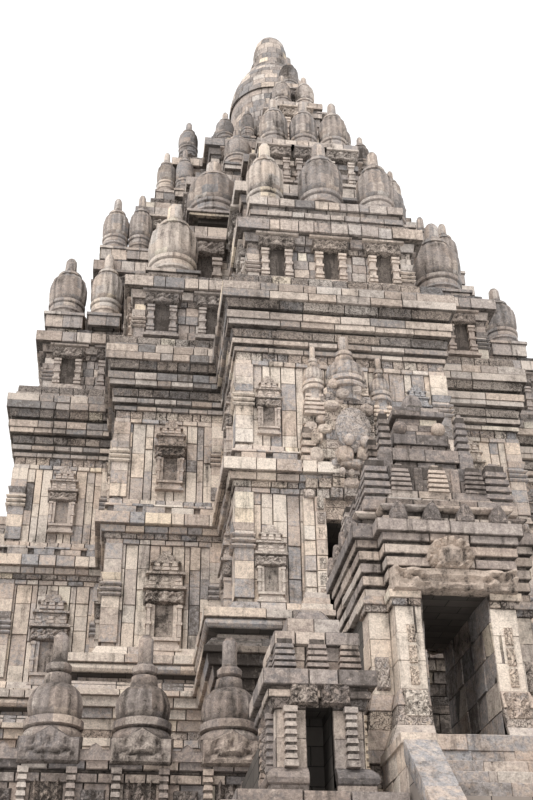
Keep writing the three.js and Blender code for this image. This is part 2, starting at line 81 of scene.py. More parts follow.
# Share of stones that are pale replacements, their tones, and how far a worn stone stands back
REPLACED = 0.022
NEW_TONES = (0.9, 1.0)
WORN_BACK = 0.05
# Painted shade and soiling of a groove, painted deep shade, and the most that a point can bear
GROOVE_SHADE_AND_SOIL = 0.9
PAINTED_DEEP_SHADE = 1.3
MOST_SOIL_AND_SHADE = 1.3
# Levels and reach of the building that several parts share
TERRACE_TOP = 5.0
FACING_FOOT = 5.01
PORCH_HALF = 2.87
PORCH_OUT = 12.65
TOWER_ARM = 6.1
TOWER_REACH = 9.25

# A function from places over a panel, x and z, to how far its carving stands out
Carving = Callable[[np.ndarray, np.ndarray], np.ndarray]
# A function from points to how soiled they are and how much painted shade they bear
SoilingAndShade = Callable[[np.ndarray], np.ndarray]
Colour = tuple[float, float, float]


# Patterns: shapes that are modelled once and copied into the masonry


@dataclass
class Pattern:
    """A shape that is copied many times.

    grime tells how soiled each point is and how much painted shade it bears, carve how finely it
    is carved, and patch how much paler or darker each face is than the rest. light is the plainer
    shape that stands in for it where both of its ends meet other stones.
    """

    points: np.ndarray
    corners: np.ndarray
    sizes: np.ndarray
    grime_and_shade: np.ndarray
    carve: np.ndarray
    patch: np.ndarray
    light: Optional["Pattern"] = None

    def moved(self, scale: Sequence[float] = (1, 1, 1),
              shift: Sequence[float] = (0, 0, 0)) -> "Pattern":
        """Gives a copy that is scaled and then shifted."""
        points = self.points * np.array(scale) + np.array(shift)
        return replace(self, points=points)

    def turned(self, angle: float) -> "Pattern":
        """Gives a copy turned about z by an angle in radians.

        Args:
            angle: The angle.

        Returns:
            The copy.
        """
        cosine, sine = math.cos(angle), math.sin(angle)
        turn = np.array(((cosine, -sine, 0), (sine, cosine, 0), (0, 0, 1)))
        return replace(self, points=self.points @ turn.T)

    def carved(self, soil: float) -> "Pattern":
        """Gives a copy that bears fine carving and is darkened all over.

        Args:
            soil: The least darkening of its points.

        Returns:
            The copy.
        """
        light = self.light.carved(soil) if self.light else None
        return replace(self, carve=np.ones(len(self.points)), grime_and_shade=np.maximum(self.grime_and_shade, soil),
                       light=light)

    def blocks(self, tall: float, across: int, spread: float, seed: int) -> "Pattern":
        """Gives a round shape the look of separate stones, each with its own tone.

        Args:
            tall: Height of a course.
            across: Number of stones in a course.
            spread: How much the tones differ.
            seed: Seed of the tones.

        Returns:
            The copy.
        """
        starts = np.concatenate([[0], np.cumsum(self.sizes)[:-1]])
        centres = np.add.reduceat(self.points[self.corners], starts, axis=0) / self.sizes[:, None]
        row = np.floor(centres[:, 2] / tall).astype(int)
        turn = np.arctan2(centres[:, 1], centres[:, 0]) / (2 * math.pi) + row * 0.37
        column = np.floor(turn * across).astype(int) % across
        tones = np.random.default_rng(seed).normal(0, spread, (row.max() + 1, across))
        return replace(self, patch=tones[row, column])


def joined(patterns: Sequence[Pattern]) -> Pattern:
    """Puts several patterns together as one.

    Args:
        patterns: The patterns.

    Returns:
        The one pattern.
    """
    offsets = np.concatenate([[0], np.cumsum([len(p.points) for p in patterns])[:-1]])
    return Pattern(
        np.concatenate([p.points for p in patterns]),
        np.concatenate([p.corners + o for p, o in zip(patterns, offsets)]),
        np.concatenate([p.sizes for p in patterns]),
        np.concatenate([p.grime_and_shade for p in patterns]),
        np.concatenate([p.carve for p in patterns]),
        np.concatenate([p.patch for p in patterns]),
    )


def places_of(mesh: bpy.types.Mesh) -> np.ndarray:
    """Reads the points of a mesh.

    Args:
        mesh: The mesh.

    Returns:
        One row for each point.
    """
    points = np.empty(len(mesh.vertices) * 3)
    mesh.vertices.foreach_get("co", points)
    return points.reshape(-1, 3)


class Bench:
    """The workbench where each pattern is modelled with Blender's own tools."""

    def __init__(self) -> None:
        """Starts with no finished shapes."""
        self.shapes: list[Pattern] = []

    @staticmethod
    def pick(chosen: Callable[[np.ndarray], np.ndarray]) -> None:
        """Selects points of the object in edit mode.

        Args:
            chosen: Takes the local points and gives a mask of those to select.
        """
        bpy.ops.object.mode_set(mode="OBJECT")
        mesh = bpy.context.object.data
        mask = chosen(places_of(mesh))
        mesh.polygons.foreach_set("select", np.zeros(len(mesh.polygons), dtype=bool))
        mesh.edges.foreach_set("select", np.zeros(len(mesh.edges), dtype=bool))
        mesh.vertices.foreach_set("select", mask)
        bpy.context.tool_settings.mesh_select_mode = (True, False, False)
        bpy.ops.object.mode_set(mode="EDIT")
        bpy.ops.mesh.select_mode(type="VERT")

    def take(self, grime_and_shade: SoilingAndShade | float = 0.0, carve: float = 0.0) -> "Bench":
        """Reads the finished shape off the workbench and clears it away.

        Args:
            grime_and_shade: Soiling and painted shade of the points, as one value or from their
                places.
            carve: How much fine carving its surface bears.

        Returns:
            The bench, ready for the next shape.
        """
        bpy.ops.object.mode_set(mode="EDIT")
        bpy.ops.mesh.select_all(action="SELECT")
        bpy.ops.mesh.normals_make_consistent(inside=False)
        bpy.ops.object.mode_set(mode="OBJECT")
        piece = bpy.context.object
        mesh = piece.data
        basis = np.array(piece.matrix_basis)
        points = places_of(mesh) @ basis[:3, :3].T + basis[:3, 3]
        corners = np.empty(len(mesh.loops), dtype=np.int64)
        mesh.loops.foreach_get("vertex_index", corners)
        sizes = np.empty(len(mesh.polygons), dtype=np.int64)
        mesh.polygons.foreach_get("loop_total", sizes)
        soil = grime_and_shade(points) if callable(grime_and_shade) else np.full(len(points), float(grime_and_shade))
        carving = np.full(len(points), carve)
        self.shapes.append(Pattern(points, corners, sizes, soil, carving, np.zeros(len(sizes))))
        bpy.data.objects.remove(piece, do_unlink=True)
        bpy.data.meshes.remove(mesh)
        return self

    def box(self, low: Sequence[float], high: Sequence[float], bevel: float = 0.0,
            top: Sequence[float] = (1, 1), grime_and_shade: float = 0.0, carve: float = 0.0) -> "Bench":
        """Models a block with soft edges, which may narrow towards its top.

        Args:
            low: The lowest corner.
            high: The highest corner.
            bevel: Width of the worn edges.
            top: How far the top is narrowed along x and y.
            grime_and_shade: Painted shade over the whole block.
            carve: How much fine carving it bears.

        Returns:
            The bench.
        """
        low, high = np.array(low, dtype=float), np.array(high, dtype=float)
        bpy.ops.mesh.primitive_cube_add(size=1, enter_editmode=True)
        bpy.ops.transform.resize(value=tuple(high - low))
        bpy.ops.transform.translate(value=tuple((high + low) / 2))
        if tuple(top) != (1, 1):
            middle = (high[2] + low[2]) / 2
            self.pick(lambda p: p[:, 2] > middle)
            bpy.ops.transform.resize(value=(top[0], top[1], 1))
        if bevel > 0:
            bpy.ops.mesh.select_all(action="SELECT")
            bpy.ops.mesh.bevel(offset=bevel, segments=1, affect="EDGES")
        return self.take(grime_and_shade, carve)

    def turned(self, profile: Sequence[Sequence[float]], columns: int, ribs: float = 0.0,
               ribbed: Sequence[float] = (0, 0), soil: SoilingAndShade | float = 0.0) -> "Bench":
        """Models a round shape ring by ring, as on a lathe, and cuts ribs into part of it.

        Args:
            profile: Radius and height of each ring, from the foot up.
            columns: Number of sides.
            ribs: Depth of the cut between two ribs, as a share of the radius.
            ribbed: Lowest and highest height of the ribs.
            soil: Painted shade and soiling of the points, as one value or from their places.

        Returns:
            The bench.
        """
        radius, foot = profile[0]
        bpy.ops.mesh.primitive_circle_add(
            vertices=columns, radius=radius, fill_type="NGON", location=(0, 0, 0),
            enter_editmode=True)
        bpy.ops.mesh.select_all(action="SELECT")
        bpy.ops.transform.translate(value=(0, 0, foot))
        height = foot
        for ring, level in profile[1:]:
            rise = (0, 0, level - height)
            bpy.ops.mesh.extrude_region_move(TRANSFORM_OT_translate={"value": rise})
            if ring < 0.002:
                bpy.ops.mesh.merge(type="CENTER")
            else:
                bpy.ops.transform.resize(value=(ring / radius, ring / radius, 1))
            radius, height = ring, level
        if ribs > 0:
            step = 2 * math.pi / columns

            def valleys(points: np.ndarray) -> np.ndarray:
                """Finds every second column between the two heights."""
                column = np.round(np.arctan2(points[:, 1], points[:, 0]) / step).astype(int)
                inside = (points[:, 2] > ribbed[0]) & (points[:, 2] < ribbed[1])
                return inside & (column % 2 == 0)

            self.pick(valleys)
            bpy.ops.transform.resize(value=(1 - ribs, 1 - ribs, 1), center_override=(0, 0, 0))
        return self.take(soil)

    def plate(self, outline: Sequence[Sequence[float]], back: float, front: float, rim: float = 0.0,
              crown: float = 0.0, carve: float = 0.0) -> "Bench":
        """Models an upright plate from its outline, with a raised or sunk middle.

        Args:
            outline: Points as x and z, counter-clockwise seen from the front.
            back: Place of its back along y.
            front: Place of its front along y.
            rim: Width of the rim round the middle.
            crown: How far the middle stands proud of the rim.
            carve: How much fine carving it bears.

        Returns:
            The bench.
        """
        bpy.ops.mesh.primitive_circle_add(vertices=len(outline), radius=1, fill_type="NGON")
        mesh = bpy.context.object.data
        placed = np.array([(x, back, z) for x, z in outline], dtype=float)
        mesh.vertices.foreach_set("co", placed.ravel())
        bpy.ops.object.mode_set(mode="EDIT")
        bpy.ops.mesh.select_all(action="SELECT")
        bpy.ops.mesh.extrude_region_move(TRANSFORM_OT_translate={"value": (0, front - back, 0)})
        if rim > 0:
            bpy.ops.mesh.inset(thickness=rim, depth=0)
            bpy.ops.transform.translate(value=(0, crown, 0))
        return self.take(0.0, carve)

    def relief(self, size: Sequence[float], cells: Sequence[int],
               height: Carving, back: float = -DEEP, dirt_and_shade: float = 0.85,
               carve: float = 1.0) -> "Bench":
        """Models a carved panel: a fine grid whose points stand out as the carving asks.

        Args:
            size: Width and height of the panel, which stands on z = 0 and is centred on x.
            cells: Columns and rows of the grid.
            height: Takes x and z and gives how far the carving stands out.
            back: Place of the panel's back along y.
            dirt_and_shade: Darkness of the painted shade in its deepest hollows.
            carve: How much fine carving it bears.

        Returns:
            The bench.
        """
        bpy.ops.mesh.primitive_grid_add(x_subdivisions=cells[0], y_subdivisions=cells[1], size=1)
        mesh = bpy.context.object.data
        points = places_of(mesh)
        x, z = points[:, 0] * size[0], (points[:, 1] + 0.5) * size[1]
        out = height(x, z)
        rim = (np.abs(points[:, 0]) > 0.4999) | (np.abs(points[:, 1]) > 0.4999)
        standing = np.column_stack([x, np.where(rim, back, out), z])
        mesh.vertices.foreach_set("co", standing.ravel())
        high, low = float(out.max()), float(out[~rim].min())
        spread = max(high - low, 1e-4)

        def soil(placed: np.ndarray) -> np.ndarray:
            """Paints shade into the hollows of the carving, so that they are darker than its
            ridges.
            """
            return np.clip((high - placed[:, 1]) / spread, 0, 1) ** 1.6 * dirt_and_shade

        return self.take(soil, carve)

    def done(self) -> Pattern:
        """Gives all the finished shapes as one pattern."""
        return joined(self.shapes)


# Masonry: many copies of patterns, joined as one piece


@dataclass(eq=False)
class Face:
    """One upright face of a plan, seen from outside.

    start is its left end, right and out are unit directions in plan, and the two turns are
    1 at a corner that stands out, -1 at one that is set back and 0 at a free end.
    """

    start: np.ndarray
    right: np.ndarray
    out: np.ndarray
    length: float
    turns: tuple[int, int]
    holes: list[tuple[float, float, float, float]] = field(default_factory=list)

    def spans(self, low: float, high: float) -> list[tuple[float, float]]:
        """Lists the stretches of a course that no hole cuts.

        Args:
            low: Foot of the course.
            high: Top of the course.

        Returns:
            Pairs of places along the face.
        """
        spans = [(0.0, self.length)]
        for left, right, foot, top in self.holes:
            if high <= foot + 0.02 or low >= top - 0.02:
                continue
            cut = []
            for a, b in spans:
                if right <= a or left >= b:
                    cut.append((a, b))
                    continue
                if left > a:
                    cut.append((a, left))
                if right < b:
                    cut.append((right, b))
            spans = cut
        return spans

    def cut(self, middle: float, half: float, foot: float, top: float) -> None:
        """Leaves an opening in the face."""
        self.holes.append((middle - half, middle + half, foot, top))

    def turns_at(self, start: float, end: float) -> tuple[int, int]:
        """Gives the turns at the ends of a stone: 0 where it doesn't end at a corner."""
        return (self.turns[0] if start < TOUCH else 0,
                self.turns[1] if end > self.length - TOUCH else 0)


def faces_of(outline: Sequence[Sequence[float]], closed: bool = True) -> list[Face]:
    """Makes the faces of a plan that runs counter-clockwise.

    Args:
        outline: Corners in plan.
        closed: Whether the last corner joins the first.

    Returns:
        One face for each side of the plan.
    """
    points = [np.array(p, dtype=float) for p in outline]
    count = len(points)
    steps = [points[(i + 1) % count] - points[i] for i in range(count if closed else count - 1)]
    lengths = [float(np.linalg.norm(s)) for s in steps]
    rights = [s / n for s, n in zip(steps, lengths)]

    def turn(i: int, j: int) -> int:
        """Tells which way the plan turns between two faces.

        Args:
            i: Number of the first face.
            j: Number of the next face.

        Returns:
            1 where the corner stands out, -1 where it is set back, 0 at a free end.
        """
        if not closed and (i < 0 or j >= len(rights)):
            return 0
        a, b = rights[i % len(rights)], rights[j % len(rights)]
        return 1 if a[0] * b[1] - a[1] * b[0] > 0 else -1

    return [
        Face(points[i], rights[i], np.array((rights[i][1], -rights[i][0])), lengths[i],
             (turn(i - 1, i), turn(i, i + 1)))
        for i in range(len(rights))
    ]


def front_face(left: float, out: float, width: float) -> Face:
    """Makes a single face that looks to the front, with free ends."""
    return Face(np.array((left, -out)), np.array((1.0, 0.0)), np.array((0.0, -1.0)), width, (0, 0))


def of_length(faces: Iterable[Face], length: float) -> list[Face]:
    """Picks the faces that have a length."""
    return [face for face in faces if abs(face.length - length) < 0.01]


def sliced(t: np.ndarray, length: np.ndarray | float, margin: float) -> np.ndarray:
    """Stretches places from 0 to 1 to a length, but keeps both end tenths at a fixed margin.

    Args:
        t: The places.
        length: The length.
        margin: Length of an end tenth.

    Returns:
        The stretched places.
    """
    middle = margin + (t - 0.1) / 0.8 * (length - 2 * margin)
    return np.where(t < 0.1, t * 10 * margin,
                    np.where(t > 0.9, length - (1 - t) * 10 * margin, middle))


class Masonry:
    """Collects copies of patterns and makes them one mesh."""

    def __init__(self, name: str, seed: int) -> None:
        """Starts an empty piece with its own random numbers.

        Args:
            name: Name of the piece.
            seed: Seed of its random numbers.
        """
        self.name = name
        self.random = np.random.default_rng(seed)
        self.points: list[np.ndarray] = []
        self.corners: list[np.ndarray] = []
        self.sizes: list[np.ndarray] = []
        self.tones: list[np.ndarray] = []
        self.grimes_and_shades: list[np.ndarray] = []
        self.carves: list[np.ndarray] = []
        self.count = 0
        self.side = 0

    def tone(self, pale: float = 0.5, spread: float = 0.3) -> float:
        """Picks the tone of one stone, now and then a pale replacement.

        Args:
            pale: Mean tone.
            spread: Spread of the tones.

        Returns:
            The tone.
        """
        if self.random.random() < REPLACED:
            return float(self.random.uniform(*NEW_TONES))
        return float(np.clip(self.random.normal(pale, spread), *TONES))

    def plain(self, pale: float = 0.5, spread: float = 0.15) -> float:
        """Picks the tone of a large carving, which is never a replacement."""
        return float(np.clip(self.random.normal(pale, spread), *CARVED_TONES))

    def put(self, points: np.ndarray, shape: Pattern, tone: float, grime_and_shade: float = 0.0) -> None:
        """Adds one placed copy.

        Args:
            points: The copy's points in the building's axes.
            shape: The pattern that they belong to.
            tone: Tone of the stone.
            grime_and_shade: Soiling and painted shade added to the pattern's own.
        """
        for _ in range(self.side):
            points = points[:, [1, 0, 2]] * np.array((-1.0, 1.0, 1.0))
        self.points.append(points)
        self.corners.append(shape.corners + self.count)
        self.sizes.append(shape.sizes)
        self.tones.append(tone + shape.patch)
        self.grimes_and_shades.append(np.clip(shape.grime_and_shade + grime_and_shade, 0, MOST_SOIL_AND_SHADE) if grime_and_shade else shape.grime_and_shade)
        self.carves.append(shape.carve)
        self.count += len(points)

    def on_face(self, shape: Pattern, face: Face, x: float, y: float, z: float,
                scale: Sequence[float] = (1, 1, 1), tone: float = 0.5, grime_and_shade: float = 0.0) -> None:
        """Adds a copy on a face.

        Args:
            shape: The pattern.
            face: The face that carries it.
            x: Place along the face.
            y: Place out of the face.
            z: Height.
            scale: Scale along the face's axes.
            tone: Tone of the stone.
            grime_and_shade: Soiling and painted shade added to the pattern's own.
        """
        local = shape.points * np.array(scale)
        across = np.outer(local[:, 0] + x, face.right)
        plan = face.start + across + np.outer(local[:, 1] + y, face.out)
        placed = np.column_stack([plan, local[:, 2] + z])
        self.put(placed, shape, tone, grime_and_shade)

    def at(self, shape: Pattern, place: Sequence[float], scale: Sequence[float],
           angle: float = 0.0, tone: float = 0.5) -> None:
        """Adds a copy that stands free."""
        copy = shape.moved(scale).turned(angle)
        self.put(copy.points + np.array(place), copy, tone)

    def stone(self, shape: Pattern, face: Face, span: Sequence[float], heights: Sequence[float],
              grows: Sequence[float], turns: Sequence[int] = (0, 0), relief: float = 0.0,
              tone: float = 0.5, grime_and_shade: float = 0.0, edge: float = EDGE,
              deep: float = DEEP) -> None:
        """Adds one dressed stone, stretched to its bed and cut to the corner.

        Args:
            shape: A stone pattern: x and z from 0 to 1, y from -1 at the back to 0 or 1 in front.
            face: The face that carries it.
            span: Its two ends along the face.
            heights: Its foot and top.
            grows: How far its foot and its top stand out of the face.
            turns: Corners at its two ends, 0 for a plain joint.
            relief: How far a moulding stands out.
            tone: Tone of the stone.
            grime_and_shade: Soiling and painted shade added to the pattern's own.
            edge: Width of its worn edges.
            deep: How far it reaches back.
        """
        if shape.light is not None and tuple(turns) == (0, 0):
            shape = shape.light
        x, y, z = shape.points.T
        tall = heights[1] - heights[0] + 2 * LAP
        level = sliced(z, tall, min(edge, tall * 0.3))
        lean = grows[0] + (grows[1] - grows[0]) * (level / tall)
        back = min(grows) - deep
        out = np.where(y < -0.95, back, lean + np.where(y < 0, y * edge * 10, y * relief))
        if tuple(turns) == (0, 0):
            tilt = self.random.uniform(-TILT, TILT, 2)
            out = out + np.where(y < -0.95, 0, (x - 0.5) * tilt[0] + (z - 0.5) * tilt[1])
        left = span[0] - turns[0] * out
        right = span[1] + turns[1] * out
        along = left + sliced(x, right - left, min(edge, 0.25 * (span[1] - span[0])))
        plan = face.start + np.outer(along, face.right) + np.outer(out, face.out)
        self.put(np.column_stack([plan, level + heights[0] - LAP]), shape, tone, grime_and_shade)

    def course(self, shape: Pattern, faces: Iterable[Face], heights: Sequence[float],
               grows: Sequence[float], relief: float = 0.0, length: float = 0.6,
               pale: float = 0.5, spread: float = 0.17, grime_and_shade: float = 0.0, loose: float = 0.008,
               lost: float = 0.0) -> None:
        """Lays one course of stones round the faces of a plan.

        Args:
            shape: The stone pattern.
            faces: The faces.
            heights: Foot and top of the course.
            grows: How far its foot and top stand out of the faces.
            relief: How far a moulding stands out.
            length: Mean length of a stone.
            pale: Mean tone.
            spread: Spread of the tones.
            grime_and_shade: Soiling and painted shade of the course.
            loose: How unevenly the stones stand.
            lost: Share of the stones that have worn back.
        """
        for face in faces:
            for start, end in face.spans(*heights):
                if end - start < LEAST_STONE:
                    continue
                count = max(1, round((end - start) / length))
                joints = np.linspace(start, end, count + 1)
                wander = self.random.uniform(-JOINT_WANDER, JOINT_WANDER, count - 1)
                joints[1:-1] += wander * (end - start) / count
                for i in range(count):
                    turns = face.turns_at(joints[i], joints[i + 1])
                    step = self.random.uniform(-loose, loose)
                    if self.random.random() < lost and turns == (0, 0):
                        step -= WORN_BACK
                    self.stone(shape, face, joints[i:i + 2], heights,
                               (grows[0] + step, grows[1] + step), turns, relief,
                               self.tone(pale, spread), grime_and_shade)

    def uprights(self, shape: Pattern, faces: Iterable[Face], foot: float, top: float,
                 pale: float = 0.67, spread: float = 0.25) -> None:
        """Faces a wall with tall narrow stones that stand on each other in strips.

        Args:
            shape: The stone pattern.
            faces: The faces.
            foot: Foot of the wall.
            top: Top of the wall.
            pale: Mean tone.
            spread: Spread of the tones.
        """
        for face in faces:
            for start, end in face.spans(foot, top):
                count = max(1, round((end - start) / STRIP))
                joints = np.linspace(start, end, count + 1)
                joints[1:-1] += self.random.uniform(-STRIP_WANDER, STRIP_WANDER, count - 1)
                for i in range(count):
                    turns = face.turns_at(joints[i], joints[i + 1])
                    level = foot
                    while level < top - 0.01:
                        high = level + self.random.uniform(*STRIP_STONES)
                        high = top if high > top - STRIP_LEAST else high
                        step = self.random.uniform(-0.022, 0.022)
                        self.stone(shape, face, joints[i:i + 2], (level, high), (step, step), turns,
                                   tone=self.tone(pale, spread), grime_and_shade=self.random.uniform(0, 0.12))
                        level = high

    def build(self, finish: bpy.types.Material, slot: str, smooth: float = 0.0) -> None:
        """Makes the piece from all its copies.

        Args:
            finish: Its material.
            slot: The record's material slot, which is not used.
            smooth: Angle in degrees under which edges look round, 0 for flat faces.
        """
        points = np.concatenate(self.points) * SCALE
        corners = np.concatenate(self.corners).astype(np.int32)
        sizes = np.concatenate(self.sizes).astype(np.int32)
        mesh = bpy.data.meshes.new(self.name)
        mesh.vertices.add(len(points))
        mesh.vertices.foreach_set("co", points.ravel())
        mesh.loops.add(len(corners))
        mesh.loops.foreach_set("vertex_index", corners)
        mesh.polygons.add(len(sizes))
        mesh.polygons.foreach_set("loop_start",
                                  np.concatenate([[0], np.cumsum(sizes)[:-1]]).astype(np.int32))
        mesh.polygons.foreach_set("loop_total", sizes)
        mesh.polygons.foreach_set("use_smooth", np.full(len(sizes), smooth > 0))
        for name, values in (("tone", self.tones), ("grime_and_shade", self.grimes_and_shades), ("carve", self.carves)):
            layer = mesh.attributes.new(name, "FLOAT", "FACE" if name == "tone" else "POINT")
            layer.data.foreach_set("value", np.concatenate(values).astype(np.float32))
        mesh.update(calc_edges=True)
        mesh.materials.append(finish)
        piece = bpy.data.objects.new(self.name, mesh)
        bpy.context.scene.collection.objects.link(piece)
        if smooth > 0:
            bpy.ops.object.select_all(action="DESELECT")
            piece.select_set(True)
            bpy.context.view_layer.objects.active = piece
            bpy.ops.object.shade_smooth_by_angle(angle=math.radians(smooth))
            piece.select_set(False)
        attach(piece, "root")
        LOG.info("%s: %d stones and carvings, %d triangles", self.name, len(self.points),
                 int((sizes - 2).sum()))


# Finishes


class Graph:
    """Adds shader nodes to a tree and joins them up."""

    def __init__(self, tree: bpy.types.NodeTree) -> None:
        """Keeps the tree that the nodes go into."""
        self.tree = tree

    def node(self, kind: str, inputs: Optional[dict] = None, **settings: object) -> bpy.types.Node:
        """Adds a node.

        Args:
            kind: Node type without its prefix.
            inputs: Values or sockets for its inputs, by name or number.
            settings: Properties of the node.

        Returns:
            The node.
        """
        node = self.tree.nodes.new("ShaderNode" + kind)
        for name, value in settings.items():
            setattr(node, name, value)
        for key, value in (inputs or {}).items():
            if isinstance(value, bpy.types.NodeSocket):
                self.tree.links.new(value, node.inputs[key])
            else:
                node.inputs[key].default_value = value
        return node

    def noise(self, place: bpy.types.NodeSocket, scale: float, detail: float, rough: float = 0.55,
              stretch: Sequence[float] = (1, 1, 1)) -> bpy.types.NodeSocket:
        """Adds noise on a place that may be stretched.

        Args:
            place: The coordinates.
            scale: Scale of the noise.
            detail: Number of octaves.
            rough: How strong the fine octaves are.
            stretch: Scale of the coordinates along each axis.

        Returns:
            The noise value.
        """
        if tuple(stretch) != (1, 1, 1):
            place = self.node("Mapping", {"Vector": place, "Scale": tuple(stretch)}).outputs[0]
        made = self.node("TexNoise",
                         {"Vector": place, "Scale": scale, "Detail": detail, "Roughness": rough})
        return made.outputs["Fac"]

    def ramp(self, value: bpy.types.NodeSocket, low: float, high: float,
             to_low: float = 0.0, to_high: float = 1.0) -> bpy.types.NodeSocket:
        """Maps a value smoothly from one range to another.

        Args:
            value: The value.
            low: Lower end of its range.
            high: Upper end of its range.
            to_low: What the lower end becomes.
            to_high: What the upper end becomes.

        Returns:
            The mapped value.
        """
        made = self.node("MapRange", {"Value": value, "From Min": low, "From Max": high,
                                      "To Min": to_low, "To Max": to_high},
                         interpolation_type="SMOOTHSTEP")
        return made.outputs[0]

    def sum(self, a: object, b: object, operation: str = "ADD",
            clamp: bool = False) -> bpy.types.NodeSocket:
        """Does arithmetic on two values."""
        return self.node("Math", {0: a, 1: b}, operation=operation, use_clamp=clamp).outputs[0]

    def blend(self, share: object, a: object, b: object, mode: str = "MIX") -> bpy.types.NodeSocket:
        """Mixes two colours."""
        return self.node("Mix", {0: share, 6: a, 7: b}, data_type="RGBA",
                         blend_type=mode).outputs[2]


class Tint(Enum):
    """Named inputs of the stone group that are colours."""

    DARK = "Dark"
    COOL = "Cool"
    WARM = "Warm"
    PALE = "Pale"
    CREAM = "Cream"
    SOIL = "Soil"


class Wear(Enum):
    """Named inputs of the stone group that are amounts."""

    STAIN = "Stain"
    STREAK = "Streak"
    LICHEN = "Lichen"
    JOINTS = "Joints"


def weathered_stone() -> bpy.types.NodeTree:
    """Makes the node group of weathered volcanic stone.

    Each stone's tone and each point's soiling and painted shade come from attributes, and
    stains, streaks, lichen, grain and pores come from object coordinates. The grooves of fine
    carving are darkened as painted shade.

    Returns:
        The group, with outputs for colour, roughness and height.
    """
    tree = bpy.data.node_groups.new("weathered_stone", "ShaderNodeTree")
    for tint in Tint:
        tree.interface.new_socket(tint.value, in_out="INPUT", socket_type="NodeSocketColor")
    for wear in Wear:
        tree.interface.new_socket(wear.value, in_out="INPUT", socket_type="NodeSocketFloat")
    tree.interface.new_socket("Color", in_out="OUTPUT", socket_type="NodeSocketColor")
    tree.interface.new_socket("Roughness", in_out="OUTPUT", socket_type="NodeSocketFloat")
    tree.interface.new_socket("Height", in_out="OUTPUT", socket_type="NodeSocketFloat")
    g = Graph(tree)
    given = tree.nodes.new("NodeGroupInput").outputs
    place = g.node("TexCoord").outputs["Object"]
    tone = g.node("Attribute", attribute_name="tone").outputs["Fac"]
    grime_and_shade = g.node("Attribute", attribute_name="grime_and_shade").outputs["Fac"]
    carve = g.node("Attribute", attribute_name="carve").outputs["Fac"]
    grain = g.noise(place, 330, 3, 0.7)
    mottle = g.noise(place, 95, 6, 0.68)
    cloud = g.noise(place, 16, 4, 0.6)
    stain = g.ramp(g.noise(place, 8, 7, 0.72), 0.48, 0.7)
    streak = g.ramp(g.noise(place, 60, 5, 0.62, (1, 1, 0.12)), 0.52, 0.74)
    lichen = g.ramp(g.noise(place, 120, 5, 0.75), 0.56, 0.66)
    spots = g.ramp(g.noise(place, 150, 4, 0.8), 0.53, 0.64)
    shade = g.sum(g.sum(tone, g.sum(g.sum(mottle, 0.5, "SUBTRACT"), 1.05, "MULTIPLY")),
                  g.sum(g.sum(cloud, 0.5, "SUBTRACT"), 0.5, "MULTIPLY"))
    color = g.blend(g.ramp(shade, 0.0, 0.25), given["Dark"], given["Cool"])
    color = g.blend(g.ramp(shade, 0.25, 0.48), color, given["Warm"])
    color = g.blend(g.ramp(shade, 0.48, 0.8), color, given["Pale"])
    color = g.blend(g.ramp(tone, 0.88, 0.92), color, given["Cream"])
    color = g.blend(g.sum(lichen, given["Lichen"], "MULTIPLY"), color, given["Pale"])
    hue = g.sum(g.sum(tone, 47.3, "MULTIPLY"), 0, "FRACT")
    color = g.blend(1.0, color, g.blend(hue, (1.05, 0.99, 0.945, 1), (0.975, 1.0, 1.035, 1)),
                    "MULTIPLY")
    # Thin curly grooves of fine carving: sunk by the bump, and darkened as painted shade
    curls = g.node("TexNoise", {"Vector": place, "Scale": 62.0, "Detail": 1.5, "Distortion": 2.6})
    line = g.sum(g.sum(curls.outputs["Fac"], 0.5, "SUBTRACT"), 0, "ABSOLUTE")
    hollow = g.ramp(line, 0.0, 0.07, 1.0, 0.0)
    # Stains, streaks and spots are soiling; the carved grooves and the grime attribute add painted
    # shade
    dirt_and_shade = g.sum(g.sum(stain, given["Stain"], "MULTIPLY"),
                 g.sum(streak, given["Streak"], "MULTIPLY"))
    dirt_and_shade = g.sum(dirt_and_shade, g.sum(spots, 0.3, "MULTIPLY"))
    dirt_and_shade = g.sum(dirt_and_shade, g.sum(g.sum(hollow, carve, "MULTIPLY"), 0.5, "MULTIPLY"))
    dirt_and_shade = g.sum(dirt_and_shade, g.sum(grime_and_shade, given["Joints"], "MULTIPLY"), clamp=True)
    color = g.blend(dirt_and_shade, color, given["Soil"])
    fine = g.ramp(grain, 0.3, 0.7, 0.8, 1.12)
    speckle = g.node("CombineColor", {0: fine, 1: fine, 2: fine}).outputs[0]
    color = g.blend(1.0, color, speckle, "MULTIPLY")
    height = g.sum(g.sum(grain, 0.25, "MULTIPLY"), g.sum(mottle, 1.0, "MULTIPLY"))
    height = g.sum(height, g.sum(g.sum(hollow, carve, "MULTIPLY"), -0.9, "MULTIPLY"))
    rough = g.ramp(mottle, 0.3, 0.7, 0.98, 0.86)
    out = tree.nodes.new("NodeGroupOutput")
    for name, socket in (("Color", color), ("Roughness", rough), ("Height", height)):
        tree.links.new(socket, out.inputs[name])
    return tree


